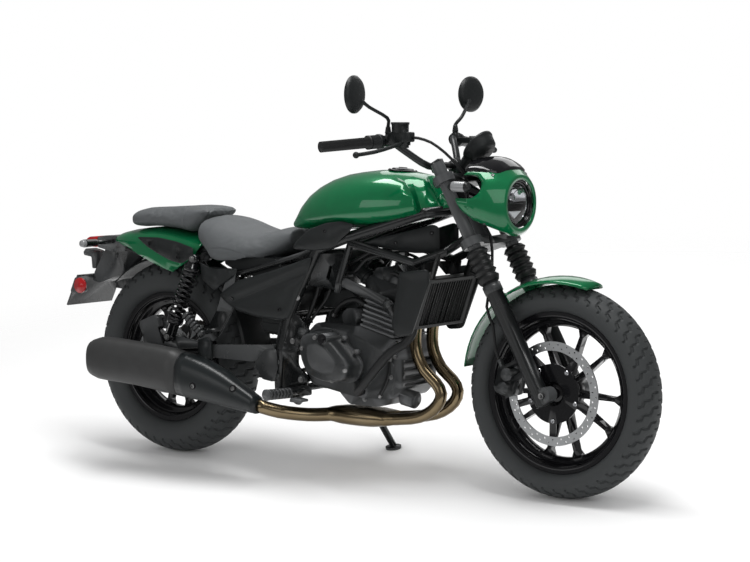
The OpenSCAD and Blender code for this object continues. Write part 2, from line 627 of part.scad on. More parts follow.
// Where the frame holds the engine: two mounts behind and one on each side of the head
rear_mounts = [[-136, 0, 452], [-136, 0, 300]];
head_mount = [192, 0, 556];
module main_frame() color(black) {
    rod(stand_pivot - 12 * stand_axis, stand_pivot, 20);
    rod([-150, plate_y + 6, 250], stand_pivot - 8 * stand_axis, 6);
    steer() difference() {
        translate([0, 0, head_low_s]) cylinder(r = head_r, h = head_high_s - head_low_s);
        translate([0, 0, head_low_s - 1]) cylinder(r = 22, h = head_high_s - head_low_s + 2);
    }
    main_rails();
    both_sides() {
        pipe(lower_pts, lower_r);
        pipe([[52, rail_y - 1, 740], [4, rail_y - 1, 616], [-1, rail_y - 1, 584]], rail_r - 6);
        // Slotted plate between the posts
        difference() {
            side_plate([[-84, 700], [30, 706], [12, 588], [-112, 600]], plate_y, plate_y + 8);
            translate([-33, 0, 643]) rotate([0, 16, 0]) side_plate(rounded([[-7, -24], [-7, 24], [7, 24],
                [7, -24]], 6), plate_y - 1, plate_y + 9);
        }
        side_plate([[221, 678], [318, 684], [312, 646], [263, 638]], 94, 101);
        // Hanger of the cylinder head
        side_plate(rounded([[10, 604], [14, 632], [34, 628], [192, 576], [212, 562], [238, 508], [222, 494],
            [184, 538], [172, 548]], 6), plate_y - 2, plate_y + 5);
        across(head_mount, 13, block_w + seat_gap, plate_y + 8);
        // Pivot plate, its boss and the engine's rear mounts
        side_plate(rounded([[-214, 520], [-176, 520], [-128, 478], [-120, 440], [-158, 400], [-160, 340],
            [-118, 310], [-122, 284], [-140, 240], [-246, 240], [-252, 330], [-240, 420]], 14),
            plate_y, plate_y + plate_t);
        across(pivot, 27, rail_y - rail_r + 1, plate_y + plate_t + 6);
        for (p = rear_mounts) across(p, 15, case_w + seat_gap, plate_y + plate_t + 3);
    }
    for (p = [[-186, 0, 500], [-190, 0, 262]]) across(p, 12, -plate_y - 2, plate_y + 2);
}
subrail_r = 11;
subrail_y = 84;
subrail_pts = [[-76, rail_y, 704], [-250, subrail_y, 670], [-560, subrail_y - 4, 688], [-880, 56, 704]];
seat_tube_pts = [[-92, rail_y, 710], [-250, rail_y - 6, 664], [-409, rail_y - 7, 623], [-500, rail_y - 10, 610],
    [-575, 98, 650], [-650, 76, 692]];
tail_bar = [-880, 0, 704];
module seat_rails() color(black) {
    both_sides() {
        difference() {
            union() {
                tube(subrail_pts, subrail_r, 2, 12);
                tube(seat_tube_pts, subrail_r - 2, 2, 12);
            }
            rod(rail_pts[3] + (rail_pts[3] - rail_pts[4]) / 3, rail_pts[4], rail_r + 2 * seat_gap);
        }
        across(shock_top, 9, subrail_y - 4, shock_y - 15);
        across([-560, 0, 668], 16, 84, 108);
    }
    across(subrail_pts[1], 9, -subrail_y, subrail_y);
    across([rear_x, 0, guard_top + 9 + seat_gap], 9, -68, 68);
    across(tail_bar, 9, -tail_w + 19, tail_w - 19);
}

// Engine: the cylinders lean forward over the crankcase

block_lean = 14;
block_foot = [127, 458];
function block_pt(x, z) = [block_foot[0] + x * cos(block_lean) + z * sin(block_lean),
    block_foot[1] - x * sin(block_lean) + z * cos(block_lean)];
module on_block() translate([block_foot[0], 0, block_foot[1]]) rotate([0, block_lean, 0]) children();
pump = [92, 0, 280];
sprocket_room = 62;
module crankcase() color(dark) {
    difference() {
        union() {
            side_plate(rounded([[-150, 330], [-146, 440], [-100, 482], block_pt(-70, 3.7), block_pt(70, 3.7),
                [224, 400], [226, 300], [186, 258], [60, 256], [-120, 284]], 14), -case_w + 9, case_w - 9);
            side_plate(rounded([[-146, 336], [-142, 432], [-60, 470], [40, 456], [140, 420], [206, 376], [212, 304],
                [176, 270], [60, 266], [-116, 292]], 20), -case_w, case_w);
            side_plate(rounded([[-40, 262], [140, 262], [120, 226], [0, 226]], 10), -58, 58);
            // Oil filter, starter and breather
            translate([200, -40, 264]) rotate([0, 100, 0]) cylinder(r = 27, h = 46);
            translate([200, -40, 264]) rotate([0, 100, 0]) cylinder(r = 21, h = 51);
            across([10, 0, 500], 30, -70, 60);
            side_plate(rounded([[-90, 470], [-80, 520], [30, 520], [50, 470]], 12), -54, 40);
            across(pump, 22, -case_w - 10, -case_w + 20);
        }
        across(front_sprocket, sprocket_room, chain_y - 14, case_w + 1);
        translate([-200, chain_y - 14, 300]) cube([90, 60, 130]);
        for (z = [300 : 24 : 390]) translate([216, -70, z]) cube([30, 140, 10]);
    }
    translate([front_sprocket[0], chain_y - sprocket_t / 2, front_sprocket[2]]) rotate([-90, 0, 0]) {
        toothed(front_teeth, 8);
        translate([0, 0, -16]) cylinder(r = 14, h = 28);
    }
}
fin_gap = 16;
module cylinder_block() color(black) on_block() {
    translate([-60, -block_w + 9, 4]) cube([120, 2 * block_w - 18, 104]);
    for (k = [0 : 5]) translate([-66, -block_w + 4, 8 + fin_gap * k]) cube([132, 2 * block_w - 8, 6]);
    side_plate(rounded([[-72, 102], [-74, 152], [-62, 172], [62, 172], [74, 152], [72, 102]], 8), -block_w, block_w);
    side_plate(rounded([[-62, 164], [-52, 200], [-30, 208], [30, 208], [52, 200], [62, 164]], 10),
        -block_w + 7, block_w - 7);
    both_sides() {
        for (x = [-32, 32]) across([x, 0, 178], 17, block_w - 20, block_w - 1);
        for (x = [-54, -10]) across([x, 0, 126], 8, block_w - 8, block_w + 4);
        translate([0, 46, 200]) cylinder(r = 15, h = 16);
        translate([0, 46, 210]) cylinder(r = 10, h = 18);
    }
    // Intake stubs behind the head
    for (y = [-45, 45]) translate([-66, y, 138]) rotate([0, -70, 0]) cylinder(r = 23, h = 34);
}
clutch_outline = rounded([[-121, 378], [-121, 456], [-51, 473], [12, 447], [90, 374], [92, 346], [70, 306],
    [-14, 296], [-89, 320]], 26, 3);
module clutch_cover() color(dark) {
    cover(clutch_outline, [[-clutch_face, 0.5], [-clutch_face + 3, 0.56], [-clutch_face + 6, 0.58],
        [-clutch_face + 7, 0.8], [-clutch_face + 14, 0.86], [-clutch_face + 30, 0.9], [-case_w - 14, 0.92],
        [-case_w - 13, 1], [-case_w - seat_gap, 1]]);
    across([-12, 0, 442], 17, -clutch_face + 4, -case_w - 8);
    for (a = [20 : 45 : 335]) across([-12 + 92 * cos(a), 0, 378 + 70 * sin(a)], 8, -case_w - 22, -case_w - 4);
}
module left_engine_covers() color(dark) {
    translate([100, 0, 366]) rotate([-90, 0, 0]) rotate_extrude() polygon([[0, case_w + seat_gap],
        [88, case_w + seat_gap], [88, case_w + 14], [80, case_w + 18], [76, case_w + 44], [66, case_w + 56],
        [40, case_w + 58], [36, case_w + 62], [0, case_w + 62]]);
    for (a = [0 : 45 : 315]) across([100 + 84 * cos(a), 0, 366 + 84 * sin(a)], 8, case_w + seat_gap, case_w + 22);
    cover(rounded([[-134, 330], [-130, 420], [-60, 446], [-20, 430], [-12, 340], [-40, 300], [-110, 300]], 18),
        [[case_w + seat_gap, 1], [case_w + 14, 1], [case_w + 22, 0.9], [case_w + 26, 0.7]]);
}
hose_y = case_w + 46;
module coolant_hose() color(black) tube([[288.4, -112, 489.8], [285, -112, 480.4], [281.6, -112, 471], [258, -119, 438],
    [222, -hose_y + 12, 414], [180, -hose_y, 368], [122, -hose_y, 304], [pump[0] + 2, -case_w - 34, pump[2] + 2],
    [pump[0], -case_w - 22, pump[2]], [pump[0], -case_w - 16, pump[2]],
    [pump[0], -case_w - 10 - 2 * seat_gap, pump[2]]], 14, 2, 12, [0, 0.2, 1]);

// Exhaust

function port(x, y, z) = let (p = block_pt(x, z)) [p[0], y, p[1]];
module exhaust_headers() color(bronze) {
    for (y = [-45, 45]) {
        tube([port(78, y, 138), port(96, y, 136), [258, y, 530], [250, y, 488], [246, y, 440], [254, y, 396],
            [282, y, 350], [324, y, 316], [344, y, 284], [330, y, 248], [288, y * 0.95, 216], [226, y * 0.9, 197],
            [120, y * 0.85, 185]], header_r, 2, 14);
        on_block() translate([72 + seat_gap + 2, y, 138]) rotate([0, 90, 0]) cylinder(r = header_r + 7, h = 8);
    }
    hull_form([[-112, 42, 204, 183, 162], [-70, 60, 213, 184, 155], [70, 62, 214, 184, 154],
        [136, 58, 207, 185, 164]], 3, 6, 16);
    difference() {
        tube([[-90, -30, 183], [-150, -80, 182], [-210, -150, 195], [-262, -198, 216]], 22, 3, 14);
        translate([-1255, -400, 0]) cube([1000 + seat_gap, 400, 400]);
    }
}
silencer_table = [
    [-955, silencer_w - 8, 380, 322, 262], [-925, silencer_w, 392, 322, 252],
    [-760, silencer_w, 386, 315, 243], [-560, silencer_w, 368, 296, 222], [-420, silencer_w - 6, 330, 270, 208],
    [-320, silencer_w - 20, 280, 240, 196], [-255, 30, 246, 220, 190]
];
// The heat shield in front ends at a seam, and a bracket holds the silencer from the passenger's peg
module silencer() color(black) {
    difference() {
        translate([0, -silencer_y, 0]) hull_form(silencer_table, 2.6, 14, 28);
        translate([0, -silencer_y, 0]) difference() {
            side_plate([[-552, 400], [-547, 400], [-566, 200], [-571, 200]], -80, 80);
            translate([-560, 0, 296]) rotate([0, 90, 0]) cylinder(r = silencer_w - 5, h = 60, center = true);
        }
        rod([-990, -silencer_y, 318], [-925, -silencer_y, 316], 34);
    }
    difference() {
        rod([-966, -silencer_y, 317], [-920, -silencer_y, 316], 32);
        rod([-970, -silencer_y, 317], [-930, -silencer_y, 316], 24);
    }
    side_plate(rounded([[-552, 344], [-556, 400], [-520, 412], [-500, 400], [-498, 336]], 8),
        -peg_plate_y - peg_plate_t - 8, -peg_plate_y - peg_plate_t - seat_gap);
    across([-526, 0, 334], 12, -silencer_y + 20, -peg_plate_y - peg_plate_t - 4);
}

// Radiator, leaning forward, with its fins and two ears under the lower rails

radiator_w = 135;
module on_radiator() translate([302, 0, 486]) rotate([0, 19.6, 0]) children();
module radiator() color(black) difference() {
    union() {
        on_radiator() {
            difference() {
                translate([-28, -radiator_w, 0]) cube([28, 2 * radiator_w, 160]);
                translate([-5, 24 - radiator_w, 10]) cube([6, 2 * radiator_w - 48, 140]);
                translate([-29, 24 - radiator_w, 10]) cube([6, 2 * radiator_w - 48, 140]);
            }
            for (k = [0 : 17]) translate([-8, 24 - radiator_w + 6 + k * 12.8, 5]) cube([7, 3, 150]);
            both_sides() translate([-20, 84, 150]) cube([10, 14, 90]);
            translate([-24, -118, 14]) cylinder(r = 12, h = 20);
        }
        for (y = [-58, 58]) on_radiator() translate([-27, y, 98]) rotate([0, -90, 0]) difference() {
            cylinder(r = 46, h = 13);
            translate([0, 0, 3]) cylinder(r = 41, h = 20);
        }
    }
    both_sides() rod(lower_pts[1], lower_pts[2], lower_r + seat_gap);
    both_sides() rod(lower_pts[1], lower_pts[0], lower_r + seat_gap);
}
module radiator_shrouds() color(dark) both_sides()
    cover(rounded([[224, 497], [254, 660], [361, 674], [366, 640], [298, 468], [242, 462]], 14),
        [[radiator_w + seat_gap, 1], [radiator_w + 6, 1], [radiator_w + 9, 0.93]]);

// Tank, covers and seats

tank_table = [
    [-220, 62, 806, 786, 770], [-160, 98, 884, 810, 768], [-60, tank_w - 22, 938, 830, 772],
    [60, tank_w - 2, 961, 842, 782], [165, tank_w, 965, 850, 792], [260, tank_w - 20, 950, 862, 815],
    [330, tank_w - 66, 925, 874, 840], [392, 58, 896, 876, 858]
];
// Room that the fork legs need between their stops
legs_at = norm([fork_offset, leg_y]);
legs_room = tube_r + 17;
module fuel_tank() color(green) difference() {
    hull_form(tank_table, 2.3, 18, 36);
    main_rails(seat_gap);
    steer() {
        translate([0, 0, 800]) cylinder(r = head_r + 5, h = 260);
        translate([0, 0, head_high_s - 4]) cylinder(r = 74, h = 200);
        both_sides() rotate([0, 0, 14]) rotate_extrude(angle = 126, $fn = 96)
            translate([legs_at - legs_room, 850]) square([2 * legs_room, 300]);
    }
}
cover_y = rail_y + rail_r + 0.5 + seat_gap;
module knee_covers() color(black) both_sides()
    cover(rounded([[-162, 714], [-155, 734], [-97, 777], [-34, 799], [29, 808], [81, 800], [66, 778], [22, 746],
        [-3, 721], [-59, 713], [-91, 712]], 12, 2), [[cover_y, 0.97], [cover_y + 3, 1], [cover_y + 8, 0.9]]);
module airbox_covers() color(dark) both_sides() {
    translate([100, 106, 0]) rotate([0, 0, -12]) cover(rounded([[0, 734], [-10, 742], [30, 756], [150, 784],
        [226, 804], [246, 796], [248, 726], [212, 716], [164, 714]], 10), [[-7, 0.98], [-3, 1], [0, 0.92]]);
    across([160, 0, 742], 7, 40, 92);
}
side_outline = rounded([[-466, 553], [-388, 603], [-243, 641], [-82, 693], [-95, 653], [-133, 581], [-172, 498],
    [-198, 484], [-309, 490], [-389, 505], [-436, 529]], 14, 2);
module side_covers() color(dark) both_sides() {
    difference() {
        cover(side_outline, [[139, 0.96], [142, 1], [148, 0.97], [153, 0.84]]);
        // A long hollow that rises to the front
        rod([-475, 173.3, 507], [-80, 171, 655], 25);
    }
    across([-119, 0, 640], 6, cover_y, 141);
    // Cover ahead of the shock
    cover(rounded([[-548, 655], [-497, 637], [-438, 640], [-387, 642], [-400, 617], [-445, 590], [-484, 563],
        [-540, 600]], 12), [[peg_plate_y + peg_plate_t + seat_gap, 0.95], [peg_plate_y + peg_plate_t + 3, 1],
            [peg_plate_y + peg_plate_t + 9, 0.92]]);
}
rider_table = [
    [-575, seat_w - 28, 800, 742, 706], [-500, seat_w, 792, 700, 642], [-430, seat_w, 768, 696, 640],
    [-340, seat_w - 10, 748, 700, 660], [-270, seat_w - 50, 770, 720, 690], [-229, 70, 776, 745, 722]
];
module rider_seat() color(black) difference() {
    hull_form(rider_table, 2.6, 14, 32);
    side_plate([[-700, 500], [-700, 700], [-560, 690], [-250, 672], [-150, 700], [-150, 500]],
        -rail_y - 12, rail_y + 12);
    both_sides() tube(subrail_pts, subrail_r + seat_gap, 2, 12);
}
passenger_table = [
    [-908, 78, 804, 778, 750], [-880, 98, 814, 780, 753], [-790, 107, 820, 783, 758.6],
    [-700, 108, 826, 786, 752], [-630, 105, 830, 796, 742], [-582, 94, 824, 812, 804], [-562, 84, 818, 812, 807]
];
module passenger_seat() color(black) hull_form(passenger_table, 2.8, 12, 28);
tail_table = [
    [-1004, 52, 722, 704, 640], [-950, 82, 738, 706, 620], [-880, tail_w - 12, 750, 704, 600],
    [-790, tail_w - 2, 758, 698, 580], [-700, tail_w, 750, 690, 560], [-580, tail_w - 3, 722, 664, 540]
];
// Dark block behind the tail that carries the lamp, the signals and the plate
cap_w = 46;
cap_outline = [[-1094, 676], [-1094, 712], [-1050, 718], [-1006, 718], [-962, 710], [-962, 668], [-1006, 660]];
module tail_form(grow = 0) hull_form(tail_table, 2.8, 10, 28, grow);
module tail_cowl() color(green) intersection() {
    difference() {
        tail_form();
        translate([0, 0, -0.01]) tail_form(-skin);
        side_plate(cap_outline, -cap_w - seat_gap, cap_w + seat_gap);
    }
    side_plate([[-1010, 790], [-1010, 706], [-908, 686], [-846, 661], [-764, 631], [-703, 612], [-655, 638],
        [-606, 664], [-585, 698], [-585, 790]], -200, 200);
}
// Trims lie along the sides, which close in towards the back
trim_turn = 2.2;
trim_outline = rounded([[-132, 34], [-29, 36], [52, 26], [130, 7], [122, -22], [74, -46], [31, -40], [-16, -25],
    [-84, 3]], 12, 2);
module tail_trims() color(dark) both_sides() translate([-720, tail_w + 1, 690]) rotate([0, 0, trim_turn])
    difference() {
        cover(trim_outline, [[0, 0.97], [3, 1], [6, 0.92]]);
        for (p = [[-70, 0, 16], [60, 0, -10]]) across(p, 8, 2, 10);
    }
// Rear mudguard: an arched skin with rounded edges, hung under the seat rails
rear_guard_in = rear_r + 20;
rear_guard_w = 72;
guard_top = rear_r + rear_guard_in + skin;
module rear_mudguard() color(black) translate(rear_hub)
    rotate([-90, 0, 0]) rotate([0, 0, -134]) rotate_extrude(angle = 106, $fn = 96) polygon(concat(
        [for (a = [-60 : 12 : 60]) [rear_guard_in - 26 + (26 + skin) * cos(a), rear_guard_w * sin(a) / sin(60)]],
        [for (a = [60 : -12 : -60]) [rear_guard_in - 26 + 26 * cos(a), (rear_guard_w - skin) * sin(a) / sin(60)]]));
module plate_holder() color(black) {
    side_plate(rounded(cap_outline, 8), -cap_w, cap_w);
    side_plate(rounded([[-1066, 676], [-1050, 690], [-968, 690], [-908, 660], [-982, 592], [-1100, 552],
        [-1130, 560], [-1122, 590]], 8), -32, 32);
    translate([-1128, 0, 578]) rotate([0, 26, 0]) difference() {
        side_plate([[-4, -112], [-4, 4], [2, 4], [2, -112]], -110, 110);
        translate([-6, -104, -106]) cube([4, 208, 104]);
    }
    side_plate(rounded([[-1136, 576], [-1090, 572], [-1082, 532], [-1110, 520], [-1160, 524]], 8), -113.5, -106);
    side_plate(rounded([[-1136, 576], [-1090, 572], [-1082, 532], [-1110, 520], [-1160, 524]], 8), 106, 113.5);
    // Plate lamp on its tab
    side_plate(rounded([[-1122, 600], [-1128, 660], [-1170, 668], [-1182, 655], [-1178, 644], [-1144, 640],
        [-1140, 600]], 5), -24, 24);
}
module tail_lamp() color("red") {
    side_plate(rounded([[-1094 - seat_gap, 676], [-1094 - seat_gap, 713], [-1130, 711], [-1146, 702],
        [-1146, 686], [-1130, 677]], 7), -46, 46);
    both_sides() across([-1108, 0, 549], 26, 113.5 + seat_gap, 121);
}
module rear_turn_signals() color(black) both_sides() translate([-1020, 0, 699]) rotate([-90, 0, 0])
    rotate_extrude() polygon([[0, cap_w + seat_gap], [8, cap_w + seat_gap], [8, 120], [12, 132], [14, 188],
        [11, 200], [6, 203], [0, 203]]);

// Rear suspension and axle

leg_out = rail_y - rail_r - 1;
shock_top = [-570, shock_y, 664];
shock_low = [-680, shock_y, 402];
shock_half = 13.7;
module swingarm() color(black) {
    across(pivot, 10, -leg_out - 0.7, leg_out + 0.7);
    across(pivot, 5, -leg_out - 1.7, leg_out + 1.7);
    across(pivot, 20, -chain_y + 14, chain_y - 14);
    both_sides() {
        difference() {
            union() {
                side_plate(rounded([[-250, 354], [-252, 402], [-345, 397], [-534, 385], [rear_x + 96, rear_r + 80],
                    [rear_x + 66, rear_r + 96], [rear_x + 40, rear_r + 50], [rear_x - 50, rear_r + 30],
                    [rear_x - 66, rear_r], [rear_x - 50, rear_r - 26], [rear_x + 40, rear_r - 22], [-527, 345],
                    [-346, 343]], 8), beam_y, beam_y + beam_t);
                across(rear_hub, 30, beam_y - 1, beam_y + beam_t + 3);
            }
            across(rear_hub, rear_axle_r + 0.05, 0, 300);
            across(shock_low, 6, 0, beam_y + beam_t + 1);
            side_plate(rounded([[-530, 356], [-530, 374], [rear_x + 110, rear_r + 40], [rear_x + 110, rear_r + 22]], 7),
                beam_y + beam_t - 6, beam_y + beam_t + 1);
        }
        side_plate(rounded([[-196, 350], [-194, 392], [-262, 390], [-352, 386], [-352, 350]], 6),
            leg_out - 20, leg_out - 0.4);
        translate([-350, leg_out - 12, 352]) cube([90, 24, 32]);
    }
    translate([-350, -leg_out + 10, 354]) cube([28, 2 * leg_out - 20, 28]);
}
module rear_shocks() color(black) both_sides() {
    d = shock_top - shock_low;
    rod(shock_low, shock_top, 9);
    for (k = [0 : shock_coils - 1]) translate(shock_low + d * (0.26 + 0.58 * k / (shock_coils - 1)))
        rotate([0, atan2(d[0], d[2]), 0]) rotate_extrude() translate([22, 0]) circle(5);
    across(shock_top, 15, shock_y - shock_half, shock_y + shock_half);
    across(shock_low, 15, shock_y - shock_half, shock_y + shock_half);
    rod(shock_low + d * 0.05, shock_low + d * 0.2, 19);
    rod(shock_low + d * 0.19, shock_low + d * 0.25, 28);
    rod(shock_low + d * 0.86, shock_low + d * 0.91, 26);
    rod(shock_low + d * 0.9, shock_low + d * 0.96, 18);
}
module rear_axle() color(steel) axle(rear_hub, rear_axle_r, 145);
// Caliper over the top of the rear disc, carried on the right beam
rear_pad_r = rear_disc_r - 10;
module on_rear_pads() translate([rear_x, rear_disc_y, rear_r]) rotate([0, -22, 0]) children();
module rear_caliper() color(black) difference() {
    union() {
        on_rear_pads() {
            side_plate(rounded([[-40, 96], [-44, 106], [-44, 132], [-34, 142], [28, 142], [38, 130], [38, 96]], 7),
                -beam_y - rear_disc_y + seat_gap, 20);
            across([-4, 0, rear_pad_r + 8], 17, 10, 26);
        }
        side_plate(rounded([[rear_x - 66, rear_r + 16], [rear_x - 78, rear_r + 90], [rear_x - 10, rear_r + 110],
            [rear_x + 20, rear_r + 34], [rear_x - 10, rear_r + 30]], 8), -beam_y + seat_gap, -beam_y + 8);
    }
    on_rear_pads() side_plate([[-60, 80], [60, 80], [60, rear_disc_r + 5], [-60, rear_disc_r + 5]],
        -3.2, disc_t + 3.2);
}

// Footpegs and side stand

// A rubber with raised ribs
module ribbed(p, q, r, n) {
    rod(p, q, r - 2);
    for (k = [0 : n - 1]) rod(p + (q - p) * (k + 0.2) / n, p + (q - p) * (k + 0.75) / n, r);
}
peg_plate_y = 129;
peg_plate_t = 8;
guard_plate_y = 139;
module rider_pegs() color(black) both_sides() {
    rod([-115, plate_y + plate_t + seat_gap, 268], [-120, 214, 268], 9);
    ribbed([-120, 208, 268], [-134, 306, 270], 17, 7);
    rod([-133.6, 303, 270], [-134.5, 309, 270], 18);
    side_plate(rounded([[-236, 250], [-226, 262], [-130, 284], [-98, 282], [-96, 254], [-124, 250],
        [-214, 236]], 8), plate_y + plate_t + seat_gap, plate_y + plate_t + 9);
    // Heel guard on two posts
    cover(rounded([[-319, 341], [-273, 390], [-227, 393], [-221, 333], [-234, 286], [-286, 292]], 12),
        [[guard_plate_y, 1], [guard_plate_y + 5, 1], [guard_plate_y + 7, 0.93]]);
    for (p = [[-228, 0, 306], [-225, 0, 350]]) across(p, 7, rail_y + rail_r + seat_gap, guard_plate_y + 1);
    // Pedal in front of the peg
    rod([-150, plate_y + plate_t + 4, 262], [-150, 176, 262], 8);
    tube([[-150, 172, 262], [-120, 186, 240], [-84, 206, 238], [-68, 214, 250]], 6, 2, 8);
    side_plate(rounded([[-88, 246], [-86, 258], [-48, 254], [-48, 246]], 4), 206, 250);
}
module passenger_pegs() color(black) both_sides() {
    side_plate(rounded([[-565, 395], [-520, 440], [-478, 505], [-446, 590], [-432, 632], [-400, 632], [-408, 560],
        [-414, 509], [-473, 416], [-500, 398], [-522, 392]], 12), peg_plate_y, peg_plate_y + peg_plate_t);
    across([-416, 0, 616], 10, rail_y - 7 + subrail_r - 2 + seat_gap, peg_plate_y + 2);
    rod([-470, peg_plate_y + 4, 440], [-496, 186, 432], 8);
    ribbed([-490, 196, 424], [-561, 200, 489], 14, 7);
}
module side_stand() color(black) {
    rod(stand_pivot + seat_gap * stand_axis, stand_pivot + 26 * stand_axis, 18);
    rod(stand_pivot + 15 * stand_axis, stand_foot + [0, 0, 8], 11);
    translate(stand_foot) rotate([lean, 0, 0]) cylinder(r = 26, h = 8);
}

park() main_frame();
park() seat_rails();
park() crankcase();
park() cylinder_block();
park() clutch_cover();
park() left_engine_covers();
park() coolant_hose();
park() exhaust_headers();
park() silencer();
park() radiator();
park() radiator_shrouds();
park() fuel_tank();
park() knee_covers();
park() airbox_covers();
park() side_covers();
park() rider_seat();
park() passenger_seat();
park() tail_cowl();
park() tail_trims();
park() rear_mudguard();
park() plate_holder();
park() tail_lamp();
park() rear_turn_signals();
park() swingarm();
park() rear_shocks();
park() drive_chain();
park() rear_caliper();
park() rider_pegs();
park() passenger_pegs();
park() rear_axle();
park() triple_clamps();
park() fork_tubes();
park() fork_boots();
park() fork_sliders();
park() front_axle();
park() front_mudguard();
park() front_caliper();
park() brake_hose();
park() handlebar();
park() grips();
park() bar_controls();
park() mirrors();
park() cowl();
park() cowl_visor();
park() headlamp();
park() instrument();
park() front_turn_signals();
park() front_tyre();
park() front_rim();
park() front_disc();
park() rear_tyre();
park() rear_rim();
park() rear_disc();
park() rear_sprocket();
park() side_stand();
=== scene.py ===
import json
import math

import bmesh
import bpy
import numpy as np
from mathutils import Matrix, Vector
from mathutils.bvhtree import BVHTree


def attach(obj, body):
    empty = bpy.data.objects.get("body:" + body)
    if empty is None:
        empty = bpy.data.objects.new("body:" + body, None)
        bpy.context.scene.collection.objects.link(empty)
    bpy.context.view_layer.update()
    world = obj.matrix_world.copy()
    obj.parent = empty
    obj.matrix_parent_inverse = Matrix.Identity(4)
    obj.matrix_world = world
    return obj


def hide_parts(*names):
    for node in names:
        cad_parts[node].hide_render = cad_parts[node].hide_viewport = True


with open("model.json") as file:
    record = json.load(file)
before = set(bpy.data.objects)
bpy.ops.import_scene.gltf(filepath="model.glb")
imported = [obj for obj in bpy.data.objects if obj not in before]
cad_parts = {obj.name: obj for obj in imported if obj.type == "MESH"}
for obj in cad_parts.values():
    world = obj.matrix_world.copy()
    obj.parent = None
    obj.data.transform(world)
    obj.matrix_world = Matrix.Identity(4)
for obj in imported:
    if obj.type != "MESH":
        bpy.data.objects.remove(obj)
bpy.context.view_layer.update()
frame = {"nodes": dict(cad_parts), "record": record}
NODES = frame["nodes"]
RECORD = frame["record"]
SLOTS = {s["node"]: s["material_slot"] for s in RECORD["subparts"]}
BODY = {n: b for b, names in RECORD["behaviour"]["bodies"].items() for n in names}

# The bike is measured upright, in millimetres. WORLD leans it on its stand and turns it into metres.
LEAN = math.radians(10)
WORLD = (Matrix.Translation((0.051, -0.156, 0.0012772)) @ Matrix.Rotation(-LEAN, 4, "X")
         @ Matrix.Scale(0.001, 4))
BIKE = WORLD.inverted()
HEAD = Vector((366, 0, 929))  # steering head
FRONT_HUB = Vector((760, 0, 319.5))
REAR_HUB = Vector((-760, 0, 323))
WELD = 0.00002  # metres within which the corners of the CAD meshes are one

# ---- materials

MIX_A, MIX_B, MIX_COLOUR = 6, 7, 2  # the colour sockets of a Mix node
COAT_ROUGHNESS = 0.03
SMOOTHEST = 0.02
SECOND_TONE = 0.75  # the second tone as a share of the first, where none is given
HIGHLIGHT_STARTS, HIGHLIGHT_ENDS = 0.52, 0.62  # pointiness of an edge where the painted highlight starts and is full


def socket(tree, kind, **sockets):
    """A new node with some of its inputs set."""
    made = tree.nodes.new(kind)
    for key, value in sockets.items():
        made.inputs[key.replace("_", " ")].default_value = value
    return made


def material(name, color, rough=0.5, metal=0.0, grain=0.0, grain_size=400.0, depth=0.0006, second=None,
             vary_size=25.0, spread=0.06, coat=0.0, specular=0.5, weave=False, edge=None,
             **more):
    """A principled material: two tones of noise, roughness that follows them, fine grain or weave as bump,
    and a painted highlight on sharp edges where edge gives its colour."""
    made = bpy.data.materials.new(name)
    made.use_nodes = True
    tree = made.node_tree
    link = tree.links.new
    shader = tree.nodes["Principled BSDF"]
    for key, value in {"Metallic": metal, "Coat Weight": coat, "Coat Roughness": COAT_ROUGHNESS,
                       "Specular IOR Level": specular, **more}.items():
        shader.inputs[key.replace("_", " ")].default_value = value
    place = tree.nodes.new("ShaderNodeTexCoord")
    wide = socket(tree, "ShaderNodeTexNoise", Scale=vary_size, Detail=4.0)
    link(place.outputs["Object"], wide.inputs["Vector"])
    mix = tree.nodes.new("ShaderNodeMix")
    mix.data_type = "RGBA"
    mix.inputs[MIX_A].default_value = (*color, 1)
    mix.inputs[MIX_B].default_value = (*(second or [c * SECOND_TONE for c in color]), 1)
    link(wide.outputs["Fac"], mix.inputs[0])
    tone = mix.outputs[MIX_COLOUR]
    # Sharp convex edges get a lighter colour: a painted highlight
    if edge:
        sharpness = tree.nodes.new("ShaderNodeNewGeometry")
        ramp = tree.nodes.new("ShaderNodeMapRange")
        ramp.inputs["From Min"].default_value = HIGHLIGHT_STARTS
        ramp.inputs["From Max"].default_value = HIGHLIGHT_ENDS
        link(sharpness.outputs["Pointiness"], ramp.inputs["Value"])
        edge_highlight_mix = tree.nodes.new("ShaderNodeMix")
        edge_highlight_mix.data_type = "RGBA"
        link(ramp.outputs["Result"], edge_highlight_mix.inputs[0])
        link(tone, edge_highlight_mix.inputs[MIX_A])
        edge_highlight_mix.inputs[MIX_B].default_value = (*edge, 1)
        tone = edge_highlight_mix.outputs[MIX_COLOUR]
    link(tone, shader.inputs["Base Color"])
    span = tree.nodes.new("ShaderNodeMapRange")
    span.inputs["To Min"].default_value = max(rough - spread, SMOOTHEST)
    span.inputs["To Max"].default_value = rough + spread
    link(wide.outputs["Fac"], span.inputs["Value"])
    link(span.outputs["Result"], shader.inputs["Roughness"])
    if grain:
        kind = "ShaderNodeTexVoronoi" if weave else "ShaderNodeTexNoise"
        fine = socket(tree, kind, Scale=grain_size)
        link(place.outputs["Object"], fine.inputs["Vector"])
        bump = socket(tree, "ShaderNodeBump", Strength=grain, Distance=depth)
        link(fine.outputs["Distance" if weave else "Fac"], bump.inputs["Height"])
        link(bump.outputs["Normal"], shader.inputs["Normal"])
    return made
